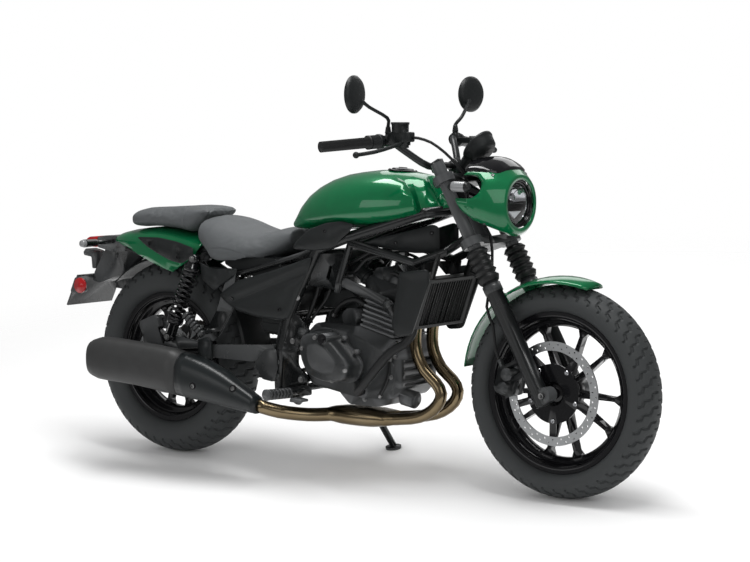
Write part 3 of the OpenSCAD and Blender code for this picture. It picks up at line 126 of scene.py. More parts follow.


# Painted highlight: the lighter colour on the sharp edges of black paint
EDGE_HIGHLIGHT = (0.07, 0.073, 0.075)
LOOKS = {
    "frame_black": material("frame_black", (0.009, 0.01, 0.0105), 0.26, grain=0.15, grain_size=700,
                            specular=0.4, edge=EDGE_HIGHLIGHT),
    # The engine's sharp edges get a lighter painted highlight
    "engine_black": material("engine_black", (0.024, 0.026, 0.027), 0.32, grain=0.5, grain_size=1100,
                             specular=0.4, edge=(0.12, 0.123, 0.127)),
    "hose_rubber": material("hose_rubber", (0.009, 0.0095, 0.01), 0.45, grain=0.3, specular=0.35),
    "bronze_steel": material("bronze_steel", (0.27, 0.215, 0.135), 0.2, 1.0, grain=0.08, vary_size=9,
                             second=(0.15, 0.11, 0.06)),
    "silencer_black": material("silencer_black", (0.042, 0.0425, 0.0425), 0.45, grain=0.3, grain_size=1500,
                               specular=0.3),
    "shield_grey": material("shield_grey", (0.0115, 0.0145, 0.0155), 0.3, grain=0.2, grain_size=1500,
                            specular=0.4),
    "radiator_black": material("radiator_black", (0.01, 0.0105, 0.011), 0.5, grain=0.6, grain_size=500,
                               specular=0.3),
    "dark_plastic": material("dark_plastic", (0.0135, 0.0155, 0.016), 0.38, grain=0.4, grain_size=1700,
                             specular=0.28),
    "green_paint": material("green_paint", (0.0, 0.16, 0.052), 0.3, 0.25, grain=0.05, grain_size=2600,
                            depth=0.0003, coat=1.0, spread=0.03, specular=0.1, second=(0.0, 0.125, 0.043)),
    "seat_leather": material("seat_leather", (0.1, 0.107, 0.111), 0.55, grain=0.6, grain_size=900, weave=True,
                             depth=0.0005, specular=0.25, second=(0.085, 0.09, 0.094)),
    "red_lens": material("red_lens", (0.42, 0.008, 0.01), 0.14, coat=0.6, specular=0.2, grain=0.5,
                         grain_size=260, weave=True),
    "gloss_black": material("gloss_black", (0.005, 0.005, 0.006), 0.1, coat=0.6, spread=0.03, specular=0.2),
    "fork_black": material("fork_black", (0.008, 0.009, 0.0095), 0.3, grain=0.12, specular=0.3,
                           edge=EDGE_HIGHLIGHT),
    "wheel_black": material("wheel_black", (0.006, 0.006, 0.007), 0.18, grain=0.1, coat=0.4,
                            specular=0.2),
    "disc_steel": material("disc_steel", (0.5, 0.51, 0.52), 0.34, 1.0, grain=0.15, grain_size=900,
                           second=(0.42, 0.43, 0.435)),
    "chain_steel": material("chain_steel", (0.13, 0.12, 0.11), 0.35, 1.0, grain=0.2,
                            second=(0.06, 0.055, 0.05)),
    "tyre_rubber": material("tyre_rubber", (0.036, 0.039, 0.04), 0.6, grain=0.35, grain_size=600,
                            specular=0.25, second=(0.044, 0.047, 0.048)),
    "lamp_glass": material("lamp_glass", (0.95, 0.96, 0.98), 0.02, coat=1.0, spread=0.0,
                           Transmission_Weight=1.0, IOR=1.04, second=(0.93, 0.94, 0.96)),
    "chrome": material("chrome", (0.6, 0.61, 0.63), 0.12, 1.0, spread=0.04, second=(0.5, 0.5, 0.52)),
    "zinc": material("zinc", (0.3, 0.3, 0.3), 0.32, 1.0, grain=0.2, grain_size=1500, second=(0.2, 0.2, 0.2)),
    "lamp_white": material("lamp_white", (0.86, 0.88, 0.9), 0.25, coat=1.0, second=(0.8, 0.82, 0.85)),
    "clear_lens": material("clear_lens", (0.26, 0.265, 0.27), 0.16, coat=0.8, grain=0.4, grain_size=300,
                           weave=True, second=(0.17, 0.175, 0.18)),
    "dial_face": material("dial_face", (0.008, 0.009, 0.011), 0.12, coat=1.0),
}

# ---- pieces


def piece(name, mesh, body, looks, stands_for=()):
    """Puts a mesh of the frame into the scene, on a body."""
    made = bpy.data.objects.new(name, mesh)
    bpy.context.scene.collection.objects.link(made)
    for look in looks:
        mesh.materials.append(LOOKS[look])
    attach(made, body)
    if stands_for:
        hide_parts(*stands_for)


def to_mesh(bm, name, angle=38, leaned=False):
    """A mesh of the frame from a bmesh that is drawn upright in millimetres, unless leaned says it leans.
    Edges sharper than angle, in degrees, stay sharp."""
    if not leaned:
        bmesh.ops.transform(bm, matrix=WORLD, verts=bm.verts)
    mesh = bpy.data.meshes.new(name)
    bm.to_mesh(mesh)
    bm.free()
    mesh.polygons.foreach_set("use_smooth", [True] * len(mesh.polygons))
    mesh.set_sharp_from_angle(angle=math.radians(angle))
    return mesh


def skin(node, angle=38, looks=None, pick=None, drop=None):
    """Stands for a CAD node with its own surface, shaded smooth. pick chooses a face's look by its place,
    and drop leaves the face out."""
    bm = bmesh.new()
    bm.from_mesh(NODES[node].data)
    bmesh.ops.remove_doubles(bm, verts=bm.verts, dist=WELD)
    gone = []
    for face in bm.faces:
        at = BIKE @ face.calc_center_median()
        face.material_index = pick(at) if pick else 0
        if drop and drop(at):
            gone.append(face)
    bmesh.ops.delete(bm, geom=gone, context="FACES")
    mesh = to_mesh(bm, node + "_skin", angle, leaned=True)
    piece(node + "_skin", mesh, BODY[node], looks or [SLOTS[node]], [node])


HEAD_SIDES = 24
TREES = {}


def touch(node, start, direction):
    """The point and the normal where a ray of the upright bike meets a node."""
    if node not in TREES:
        bm = bmesh.new()
        bm.from_mesh(NODES[node].data)
        bmesh.ops.transform(bm, matrix=BIKE, verts=bm.verts)
        TREES[node] = BVHTree.FromBMesh(bm)
        bm.free()
    at, normal = TREES[node].ray_cast(Vector(start), Vector(direction))[:2]
    if at is None:
        raise ValueError(f"nothing of {node} lies from {start} along {direction}")
    return at, normal


def facing(at, normal):
    """A place whose Z axis points along normal."""
    return Matrix.Translation(at) @ Vector(normal).to_track_quat("Z", "Y").to_matrix().to_4x4()


def rings(bm, rows, closed_start=True, closed_end=True, look=0, loop=True):
    """Faces between rows of points that all have one length."""
    made = [[bm.verts.new(p) for p in row] for row in rows]
    count = len(made[0])
    for low, high in zip(made, made[1:]):
        for k in range(count if loop else count - 1):
            n = (k + 1) % count
            bm.faces.new((low[k], low[n], high[n], high[k])).material_index = look
    if closed_start:
        bm.faces.new(made[0][::-1]).material_index = look
    if closed_end:
        bm.faces.new(made[-1]).material_index = look


def lathe(bm, profile, place, steps=48, look=0, ends=(False, False), start=0.0, sweep=360.0):
    """Revolves (radius, height) points round the Z axis of place."""
    rows = []
    whole = sweep >= 360
    for radius, height in profile:
        count = steps if whole else steps + 1
        angles = [math.radians(start + sweep * k / steps) for k in range(count)]
        rows.append([place @ Vector((radius * math.cos(a), radius * math.sin(a), height))
                     for a in angles])
    rings(bm, rows, *ends, look=look, loop=whole)


def bolt(bm, at, normal, r=6.0, h=4.5, look=0, kind="socket"):
    """A screw head on a surface: a round head with a hexagon socket, or a hexagon head on a washer."""
    place = facing(at, normal)
    # Each ring has a radius, a height over the surface and whether it is a hexagon
    profile = {
        "socket": [(r, -2, False), (r, h - 0.14 * r, False), (r * 0.88, h, False), (r * 0.6, h, True),
                   (r * 0.57, h * 0.35, True), (r * 0.1, h * 0.25, False)],
        "hex": [(r * 1.3, -1, False), (r * 1.3, 1.2, False), (r * 1.1, 1.4, False), (r * 1.02, 1.5, True),
                (r * 1.02, h - 0.8, True), (r * 0.86, h, False), (r * 0.1, h, False)],
    }[kind]
    sixth = math.radians(60)
    rows = []
    for radius, height, hexagon in profile:
        row = []
        for k in range(HEAD_SIDES):
            a = math.radians(360 / HEAD_SIDES * k)
            reach = radius
            if hexagon:
                reach = radius * math.cos(sixth / 2) / math.cos((a % sixth) - sixth / 2)
            row.append(place @ Vector((reach * math.cos(a), reach * math.sin(a), height)))
        rows.append(row)
    rings(bm, rows, False, True, look=look)


def wire(bm, points, r, sides=10, look=0):
    """A round wire along points, closed at both ends."""
    points = [Vector(p) for p in points]
    rows = []
    side = None
    for k, p in enumerate(points):
        along = (points[min(k + 1, len(points) - 1)] - points[max(k - 1, 0)]).normalized()
        if side is None:
            side = along.orthogonal().normalized()
        side = (side - along * side.dot(along)).normalized()
        other = along.cross(side)
        rows.append([p + (side * math.cos(a) + other * math.sin(a)) * r
                     for a in [2 * math.pi * n / sides for n in range(sides)]])
    rings(bm, rows, look=look)


def smooth_line(points, steps=8):
    """Points on a smooth curve through the given ones."""
    points = [Vector(p) for p in points]
    out = []
    for k in range(len(points) - 1):
        a, b = points[max(k - 1, 0)], points[k]
        c, d = points[k + 1], points[min(k + 2, len(points) - 1)]
        for n in range(steps):
            t = n / steps
            out.append(0.5 * (2 * b + (c - a) * t + (2 * a - 5 * b + 4 * c - d) * t * t
                              + (3 * b - a - 3 * c + d) * t ** 3))
    return out + [points[-1]]


# ---- every node that keeps its shape gets its own surface, shaded smooth


def ring_or_arm(hub, inner):
    """Picks the first look for a disc's ring and the second for the carrier inside it."""
    return lambda at: 0 if math.hypot(at.x - hub.x, at.z - hub.z) > inner else 1


LAMP_AXIS = Vector((516, 0, 873))
LENS_X, LENS_R = 66, 61.5  # from LAMP_AXIS forward, and the radius that the lens covers
CLAMPED = HEAD + Vector((126, 0, -3))  # where the front turn signals sit on the fork
SIGNAL_Y, REAR_SIGNAL_Y = 140, 186  # a signal's lens starts this far from the middle
SHIELD_X, OUTLET_X = -560, -968  # the silencer's shield ends, and its outlet starts
FRONT_RING_R, REAR_RING_R = 127, 95  # inside of the discs' steel rings

SHOCK_LOW, SHOCK_TOP, SHOCK_SIDE = Vector((-680, 0, 402)), Vector((-570, 0, 664)), 142
SHOCK_LINE = SHOCK_TOP - SHOCK_LOW
SPRING_R, SPRING_WIRE, SPRING_TURNS, TURN_STEPS = 22, 5, 9, 24
SPRING_START, SPRING_END = 0.26, 0.84  # share of the way from the lower to the upper eye
LOOSE_START, LOOSE_END, LOOSE_R = 0.3, 0.8, 14  # the CAD's free rings lie between these shares


def lens_side(at):
    """The front of the lamp's body, open behind the lens that is added."""
    return at.x > LAMP_AXIS.x + LENS_X and math.hypot(at.y, at.z - LAMP_AXIS.z) < LENS_R


def loose_ring(at):
    """The CAD's rings between the end rings, which a wound spring stands for."""
    flat = Vector((at.x, 0, at.z)) - SHOCK_LOW
    share = flat.dot(SHOCK_LINE) / SHOCK_LINE.length_squared
    across = flat - SHOCK_LINE * share
    return LOOSE_START < share < LOOSE_END and math.hypot(across.length, abs(at.y) - SHOCK_SIDE) > LOOSE_R


def on_front_lens(at):
    """The lens of a front turn signal, a slice of its body."""
    return CLAMPED.x - 34 < at.x < CLAMPED.x + 4 and abs(at.y) > SIGNAL_Y


SPECIAL = {
    "front_disc": dict(looks=["disc_steel", "wheel_black"], pick=ring_or_arm(FRONT_HUB, FRONT_RING_R)),
    "rear_disc": dict(looks=["disc_steel", "wheel_black"], pick=ring_or_arm(REAR_HUB, REAR_RING_R)),
    "silencer": dict(looks=["silencer_black", "shield_grey", "chrome"],
                     pick=lambda at: 1 if at.x > SHIELD_X else 2 if at.x < OUTLET_X else 0),
    "front_turn_signals": dict(looks=["fork_black", "clear_lens"],
                               pick=lambda at: 1 if on_front_lens(at) else 0),
    "rear_turn_signals": dict(looks=["gloss_black", "clear_lens"],
                              pick=lambda at: 1 if abs(at.y) > REAR_SIGNAL_Y else 0),
    "headlamp": dict(looks=["gloss_black"], drop=lens_side),
    "rear_shocks": dict(looks=["gloss_black"], drop=loose_ring),
    "front_axle": dict(looks=["zinc"]),
    "rear_axle": dict(looks=["zinc"]),
    "cowl": dict(angle=50), "fuel_tank": dict(angle=42), "front_mudguard": dict(angle=55),
    "tail_cowl": dict(angle=50), "rear_mudguard": dict(angle=45),
}
SOFT = ["rider_seat", "passenger_seat"]
TYRES = ["front_tyre", "rear_tyre"]
for name in NODES:
    if name not in SOFT + TYRES:
        skin(name, **SPECIAL.get(name, {}))

# ---- the springs of the rear shocks, wound between their end rings

bm = bmesh.new()
leftward = Vector((0, 1, 0))
sideways = SHOCK_LINE.normalized().cross(leftward)
for side in (-1, 1):
    coil = []
    for k in range(SPRING_TURNS * TURN_STEPS + 1):
        a = math.radians(360 / TURN_STEPS * k)
        share = SPRING_START + (SPRING_END - SPRING_START) * k / (SPRING_TURNS * TURN_STEPS)
        coil.append(SHOCK_LOW + SHOCK_LINE * share + leftward * (side * SHOCK_SIDE)
                    + (sideways * math.cos(a) + leftward * math.sin(a)) * SPRING_R)
    wire(bm, coil, SPRING_WIRE)
piece("shock_springs", to_mesh(bm, "shock_springs", 60), "chassis", ["gloss_black"])

# ---- tyres with their tread


GROOVE_DEPTH, GROOVE_HALF, GROOVE_WALL = 5.0, 3.7, 1.2
GROOVE_LINE = [(0.0, 0.95), (0.08, 0.64), (0.5, 0.58), (0.58, 0.32), (1.0, 0.26), (1.06, 0.06)]
PITCH_STEPS, CROWN_STEPS = 12, 36
SEAT_GAP, CROWN_GAP = 0.3, 0.2  # the rubber stays this far inside the CAD tyre


def tread_depth(along, across, half, pitch):
    """How deep a point of the tread lies in a groove, from 0 to 1. The grooves run from the shoulder
    inward in steps, as GROOVE_LINE says in shares of the pitch and of the half width."""
    depth = 0.0
    for offset, sign in ((0.0, 1), (0.5, -1)):
        y = across * sign
        for shift in (-2, -1, 0, 1):
            base = (math.floor(along / pitch - offset) + shift + offset) * pitch
            for (t0, s0), (t1, s1) in zip(GROOVE_LINE, GROOVE_LINE[1:]):
                ax, ay = base + t0 * pitch, s0 * half
                bx, by = base + t1 * pitch, s1 * half
                dx, dy = bx - ax, by - ay
                t = max(0, min(1, ((along - ax) * dx + (y - ay) * dy) / (dx * dx + dy * dy)))
                far = math.hypot(along - ax - t * dx, y - ay - t * dy)
                depth = max(depth, min(1, max(0, (GROOVE_HALF - far) / GROOVE_WALL)))
    return depth


def tyre(node, hub, r, width, bead_r, rim_w, pitches):
    """A tyre on its CAD section, with stepped grooves in the tread."""
    mid = bead_r + 0.45 * (r - bead_r)  # radius of the widest place
    h = rim_w / 2 - SEAT_GAP / 2
    lip = bead_r + 13
    steps = pitches * PITCH_STEPS
    pitch = 2 * math.pi * r / pitches
    inner = bead_r + SEAT_GAP
    section = [(inner, h - 15), (inner, h - 1), (lip, h)]
    for a in range(10, 86, 5):
        turn = math.radians(a)
        section.append((mid - (mid - lip) * math.cos(turn), h + (width / 2 - h) * math.sin(turn)))
    for k in range(CROWN_STEPS):
        turn = math.radians(90 * k / CROWN_STEPS)
        section.append((mid + (r - CROWN_GAP - mid) * math.sin(turn), width / 2 * math.cos(turn)))
    section = section + [(r - CROWN_GAP, 0)] + [(p, -y) for p, y in reversed(section)]
    section += [(inner + 14, -h + 20), (inner + 14, h - 20)]
    grooves = {}
    for k, (radius, y) in enumerate(section):
        if abs(y) < 0.94 * width / 2 and radius > mid + 8:
            arc = math.copysign(math.degrees(math.acos(max(-1, min(1, (radius - mid) / (r - mid))))), y)
            for n in range(PITCH_STEPS):
                grooves[k, n] = tread_depth(n * pitch / PITCH_STEPS, arc / 90 * width / 2, width / 2, pitch)
    bm = bmesh.new()
    rows = []
    for step in range(steps):
        a = 2 * math.pi * step / steps
        row = []
        for k, (radius, y) in enumerate(section):
            cut = grooves.get((k, step % PITCH_STEPS), 0)
            toward = Vector((radius - mid, y)).normalized() if cut else Vector((0, 0))
            rr, yy = radius - GROOVE_DEPTH * cut * toward.x, y - GROOVE_DEPTH * cut * toward.y
            row.append(bm.verts.new((hub.x + rr * math.cos(a), yy, hub.z + rr * math.sin(a))))
        rows.append(row)
    for step in range(steps):
        low, high = rows[step], rows[(step + 1) % steps]
        for k in range(len(section)):
            n = (k + 1) % len(section)
            bm.faces.new((low[k], high[k], high[n], low[n]))
    piece(node + "_rubber", to_mesh(bm, node + "_rubber", 32), BODY[node], ["tyre_rubber"],
          [node])


tyre("front_tyre", FRONT_HUB, r=319.5, width=130, bead_r=228.6, rim_w=76, pitches=46)
tyre("rear_tyre", REAR_HUB, r=323, width=150, bead_r=203.2, rim_w=94, pitches=44)

# ---- headlamp behind its glass

ON_LAMP = Matrix.Translation(LAMP_AXIS) @ Matrix.Rotation(math.radians(90), 4, "Y")
bm = bmesh.new()
lathe(bm, [(LENS_R, 70), (60.6, 73), (59.5, 66), (58, 40), (0.5, 34)], ON_LAMP, 64, look=0)
lathe(bm, [(58.2, 64), (56.6, 65.5), (55.2, 64)], ON_LAMP, 64, look=1)
# Reflector in the upper half, in three bays round a bright bulb housing
for first, last in ((96, 142), (146, 214), (218, 264)):
    lathe(bm, [(55, 63), (50, 54), (40, 46), (24, 41), (9, 39)], ON_LAMP, 14, look=1, start=first,
          sweep=last - first)
lathe(bm, [(14, 40), (14, 52), (11, 56), (0.5, 57)], ON_LAMP @ Matrix.Translation((-17, 0, 0)), 24, look=1)
# Ribs below the middle
RIB = ((44, 0.9), (60, 0.9), (61.5, 0), (60, -0.9), (44, -0.9))
for k in range(5):
    z = -1 - 3.6 * k
    half = math.sqrt(54 ** 2 - z * z)
    rings(bm, [[LAMP_AXIS + Vector((x, y, z + dz)) for x, dz in RIB] for y in (-half, half)])
# White light guide, a triangle that points down, on a dark panel
GUIDE_Z = -31  # middle of the triangle
for inset, depth, look in ((0, 58, 0), (6, 62, 2)):
    half, top = 44 - inset * 1.6, -20.5 - inset * 0.4
    corners = [(-half, top), (half, top), (0, -55 + inset * 1.7)]
    rows = [[LAMP_AXIS + Vector((x, y * share, GUIDE_Z + (z - GUIDE_Z) * share)) for y, z in corners]
            for x, share in ((40, 1.0), (depth - 1.5, 1.0), (depth, 0.94))]
    rings(bm, rows, False, True, look=look)
piece("lamp_inside", to_mesh(bm, "lamp_inside", 30), "steering", ["gloss_black", "chrome", "lamp_white"])

bm = bmesh.new()
lathe(bm, [(60.5, 73.5)] + [(58.5 * k / 5.5, 88.6 - 0.5 * k * k) for k in (5, 4, 3, 2, 1, 0.05)], ON_LAMP, 64,
      ends=(False, True))
piece("lamp_lens", to_mesh(bm, "lamp_lens", 60), "steering", ["lamp_glass"])

# ---- mirrors, instrument and fuel cap

bm = bmesh.new()
for side in (1, -1):
    place = (Matrix.Translation(HEAD + Vector((-152, 307 * side, 270)))
             @ Matrix.Rotation(math.radians(-8 * side), 4, "Z") @ Matrix.Rotation(math.radians(90), 4, "Y"))
    lathe(bm, [(50, -11.4), (30, -11.3), (0.2, -11.2)], place, 48)
piece("mirror_glass", to_mesh(bm, "mirror_glass"), "steering", ["chrome"])

DIAL = (Matrix.Translation(HEAD + Vector((92, 0, 106))) @ Matrix.Rotation(math.radians(-50), 4, "Y")
        @ Matrix.Rotation(math.radians(90), 4, "Z"))
MARK_R, MARK_RAISED = 41, 0.35
bm = bmesh.new()
lathe(bm, [(47.6, 18.3), (46, 18.8), (0.2, 19.4)], DIAL, 64, look=0, ends=(False, True))
for k in range(25):
    a = math.radians(225 - 270 * k / 24)
    long, half = (6, 0.75) if k % 3 == 0 else (3.4, 0.4)
    reach = Vector((math.cos(a), math.sin(a), 0))
    wide = Vector((-reach.y, reach.x, 0)) * half
    low = [DIAL @ (reach * d + wide * s + Vector((0, 0, z)))
           for d, s, z in ((MARK_R, 1, 19.2), (MARK_R - long, 1, 19.3), (MARK_R - long, -1, 19.3),
                           (MARK_R, -1, 19.2))]
    rings(bm, [low, [p + DIAL.to_3x3() @ Vector((0, 0, MARK_RAISED)) for p in low]], look=1)
rings(bm, [[DIAL @ Vector((x, y, z)) for x, y in ((-20, -24), (20, -24), (20, -8), (-20, -8))]
           for z in (19, 19.9)], False, True, look=2)
piece("dial", to_mesh(bm, "dial", 30), "steering", ["dial_face", "lamp_white", "clear_lens"])

at, normal = touch("fuel_tank", (165, 0, 1100), (0, 0, -1))
place = facing(at, normal)
bm = bmesh.new()
lathe(bm, [(46, -2), (46, 0.6), (44.5, 1.4), (36, 1.6), (35.4, 0.4), (34.6, 0.4), (34, 4.4), (31, 6),
           (18, 6.8), (0.2, 7)], place, 64, look=0, ends=(False, True))
rings(bm, [[place @ Vector((x, y, z)) for x, y in ((-7, -13), (7, -13), (9, 13), (-9, 13))]
           for z in (5, 9.5)], False, True, look=1)
CAP_SCREWS_R = 40.5
for k in range(6):
    a = math.radians(60 * k + 30)
    at = place @ Vector((CAP_SCREWS_R * math.cos(a), CAP_SCREWS_R * math.sin(a), 0.8))
    bolt(bm, at, normal, 2.8, 2.2, look=1)
piece("fuel_cap", to_mesh(bm, "fuel_cap", 32), "chassis", ["gloss_black", "zinc"])

# ---- screws and bolts, each set on the surface under it

HEADS = {body: bmesh.new() for body in ("chassis", "steering", "front_wheel", "rear_wheel")}
OUTSIDE = 400  # rays start this far from the middle plane


def screw(node, start, direction, r=6.0, h=4.5, look=0, kind="socket"):
    """A screw where a ray meets a node."""
    at, normal = touch(node, start, direction)
    bolt(HEADS[BODY[node]], at, normal, r, h, look, kind)


for side in (1, -1):
    wide = OUTSIDE * side
    inward = (0, -side, 0)
    for x, z in ((-790, 702), (-660, 665)):
        screw("tail_trims", (x, wide, z), inward, 6.5, 4)
    for node, x, z, r, h in (("side_covers", -205, 520, 6, 4), ("side_covers", -405, 545, 6, 4),
                             ("airbox_covers", 318, 778, 6, 4), ("airbox_covers", 200, 745, 5, 3),
                             ("knee_covers", -30, 775, 5, 3)):
        screw(node, (x, wide, z), inward, r, h)
    for eye in (SHOCK_TOP, SHOCK_LOW):
        screw("rear_shocks", (eye.x, wide, eye.z), inward, 8, 5, 1, "hex")
    for x, z in ((560, 960), (540, 815)):
        screw("cowl", (x, wide, z), inward, 4.5, 2.6, 1)
# The silencer's shield, each screw in a washer
for x, z in ((-329, 268), (-480, 266)):
    at, normal = touch("silencer", (x, -OUTSIDE, z), (0, 1, 0))
    lathe(HEADS["chassis"], [(12.5, -2), (12.5, 0.3), (11, 0.5), (0.2, 0.5)], facing(at, normal), 32,
          ends=(False, True))
    bolt(HEADS["chassis"], at, normal, 7, 3.5, 1)
for a in range(20, 336, 45):
    turn = math.radians(a)
    screw("clutch_cover", (-12 + 92 * math.cos(turn), -OUTSIDE, 378 + 70 * math.sin(turn)), (0, 1, 0),
          5.5, 5, 1, "hex")
for a in range(0, 316, 45):
    turn = math.radians(a)
    screw("left_engine_covers", (100 + 84 * math.cos(turn), OUTSIDE, 366 + 84 * math.sin(turn)),
          (0, -1, 0), 5.5, 5, 1, "hex")
# Oil filler with its grip
at, normal = touch("clutch_cover", (-12, -OUTSIDE, 442), (0, 1, 0))
filler = facing(at, normal)
lathe(HEADS["chassis"], [(16, 0), (16, 3), (14, 4.5), (0.2, 5)], filler, 32, ends=(False, True))
rings(HEADS["chassis"], [[filler @ Vector((x, y, z)) for x, y in ((-12, -3), (12, -3), (12, 3), (-12, 3))]
                         for z in (3, 9)], False, True)
for x, z in ((-128, 372), (-128, 300), (196, 330), (60, 246), (206, 392)):
    screw("crankcase", (x, -OUTSIDE, z), (0, 1, 0), 6, 5, 1, "hex")
for x, z in ((-140, 300), (-175, 420), (-150, 560)):
    screw("main_frame", (x, -OUTSIDE, z), (0, 1, 0), 7, 5, 1, "hex")
DISC_BOLTS = 5
for hub, bolt_r, y, wheel in ((FRONT_HUB, 81, -66, "front_wheel"), (REAR_HUB, 62, -76, "rear_wheel")):
    for k in range(DISC_BOLTS):
        a = math.radians(18 + 360 / DISC_BOLTS * k)
        at = hub + Vector((bolt_r * math.cos(a), y, -bolt_r * math.sin(a)))
        bolt(HEADS[wheel], at, (0, -1, 0), 7, 3.6, 2)
for body, bm in HEADS.items():
    piece(body + "_bolts", to_mesh(bm, body + "_bolts", 30), body, ["gloss_black", "zinc", "chrome"])

# ---- what fills the space round the engine: air box, throttle bodies, battery tray, hoses and looms


def pod(bm, outline, y0, y1, chamfer=5.0, look=0):
    """A case with chamfered rims: an outline in X and Z, run from y0 to y1."""
    middle = sum((Vector(p) for p in outline), Vector((0, 0))) / len(outline)
    rows = []
    for y, inset in ((y0, chamfer), (y0 + chamfer, 0), (y1 - chamfer, 0), (y1, chamfer)):
        row = []
        for x, z in outline:
            toward = (middle - Vector((x, z))).normalized() * inset
            row.append(Vector((x + toward.x, y, z + toward.y)))
        rows.append(row)
    rings(bm, rows, True, True, look=look)


def soft_corners(points, r=12, steps=4):
    """An outline with its corners rounded."""
    out = []
    for k, corner in enumerate(points):
        corner = Vector(corner)
        before, after = Vector(points[k - 1]), Vector(points[(k + 1) % len(points)])
        p, q = (before - corner).normalized(), (after - corner).normalized()
        for n in range(steps + 1):
            t = n / steps
            out.append(tuple(corner + p * r * (1 - t) ** 2 + q * r * t ** 2))
    return out


LID = soft_corners([(-168, 632), (-146, 690), (-100, 694), (-96, 626)], 8)
bm = bmesh.new()
# Air box with a lid on each side
pod(bm, soft_corners([(-186, 612), (-150, 704), (-6, 716), (12, 690), (6, 628), (-40, 596)]), -84, 84)
pod(bm, LID, -92, -80, 4)
pod(bm, LID, 80, 92, 4)
# Battery tray under the seat, and the ribbed box behind the engine
pod(bm, soft_corners([(-486, 650), (-478, 684), (-262, 676), (-236, 640), (-300, 606), (-420, 622)]),
    -96, 96)
pod(bm, soft_corners([(-344, 436), (-352, 560), (-256, 600), (-232, 560), (-262, 430)]), -72, 72)
for k in range(5):
    z = 456 + 24 * k
    pod(bm, soft_corners([(-348, z), (-348, z + 8), (-250, z + 8), (-250, z)], 3, 2), -76, 76, 2)
# Throttle bodies with their stacks and cables
pod(bm, soft_corners([(-120, 524), (-112, 574), (-10, 590), (30, 560), (20, 524)], 10), -46, 50)
STACK = [(25, -4), (25, 6), (28, 7), (28, 12), (24, 13), (24, 44), (29, 46), (29, 52), (26, 54), (26, 78)]
STACK_LINE = Vector((-0.829, 0, 0.559))
for y in (-45, 45):
    lathe(bm, STACK, facing(Vector((70, y, 626)), STACK_LINE), 28, ends=(True, True))
    wire(bm, smooth_line([(58, y * 1.1, 660), (90, y * 1.2, 690), (150, y, 700), (196, y * 0.8, 690)]), 5)
# Inner mudguard ahead of the rear wheel, a bent sheet with its rims turned in
GUARD = [(-70, 336), (-66, 346), (-30, 352), (30, 352), (66, 346), (70, 336), (66, 342), (30, 348),
         (-30, 348), (-66, 342)]
GUARD_FROM, GUARD_SWEEP, GUARD_STEPS = 5, 43, 14
rows = []
for k in range(GUARD_STEPS + 1):
    a = math.radians(GUARD_FROM + GUARD_SWEEP * k / GUARD_STEPS)
    rows.append([REAR_HUB + Vector((r * math.cos(a), y, r * math.sin(a))) for y, r in GUARD])
rings(bm, rows)
piece("air_box_and_tray", to_mesh(bm, "air_box_and_tray", 30), "chassis", ["dark_plastic"])

HOSES = [  # points that each hose runs through, and its radius
    ([(-60, -60, 500), (-20, -74, 540), (40, -78, 560), (86, -76, 540), (110, -70, 520)], 9),
    ([(-150, -96, 470), (-120, -98, 520), (-96, -96, 580), (-84, -94, 640)], 6),
    ([(-150, -90, 460), (-104, -94, 510), (-60, -96, 560), (-40, -92, 612)], 5),
    ([(10, -86, 640), (50, -92, 650), (96, -92, 690), (160, -88, 706), (232, -70, 712)], 5),
    ([(10, -80, 668), (60, -84, 690), (120, -80, 716), (200, -60, 724)], 6),
    ([(200, -50, 690), (236, -52, 660), (262, -50, 630), (280, -46, 600)], 10),
    ([(150, -72, 640), (196, -84, 650), (232, -84, 630), (262, -78, 600)], 6),
    ([(-40, 62, 540), (20, 78, 560), (80, 80, 590), (110, 76, 640), (130, 60, 690)], 7),
    ([(196, -64, 300), (206, -80, 340), (204, -84, 392), (196, -80, 440)], 6),
    ([(150, -104, 262), (176, -108, 300), (190, -106, 340), (192, -100, 396)], 5),
    ([(-190, -60, 440), (-150, -70, 500), (-130, -66, 556), (-96, -60, 610)], 8),
]
CLAMP_OVER = 1.6  # a clamp's band stands this far over its hose
COIL = soft_corners([(90, 684), (96, 716), (160, 724), (168, 694)], 6)
bm = bmesh.new()
for points, r in HOSES:
    line = smooth_line(points)
    wire(bm, line, r, 12)
    for spot in (2, len(line) - 3):
        wire(bm, line[spot - 1:spot + 2], r + CLAMP_OVER, 12, look=1)
pod(bm, soft_corners([(206, 640), (214, 694), (262, 700), (270, 650)], 8), -40, 44, 4)
pod(bm, COIL, -34, -4, 3)
pod(bm, COIL, 8, 38, 3)
piece("hoses_and_looms", to_mesh(bm, "hoses_and_looms", 35), "chassis", ["hose_rubber", "zinc"])

# ---- seats

VOXEL = 0.005
SWELL_FRAMES = 14
SWELL_HEIGHT = 40  # the cover is held at the seat's foot and swells fully this far above it
SEAM_WIDTH, SEAM_PULL = 2.6, 0.0022
RIDGE_AT, RIDGE_WIDTH, RIDGE_SHARE = 6, 3.2, 0.35  # the cover bulges beside a seam


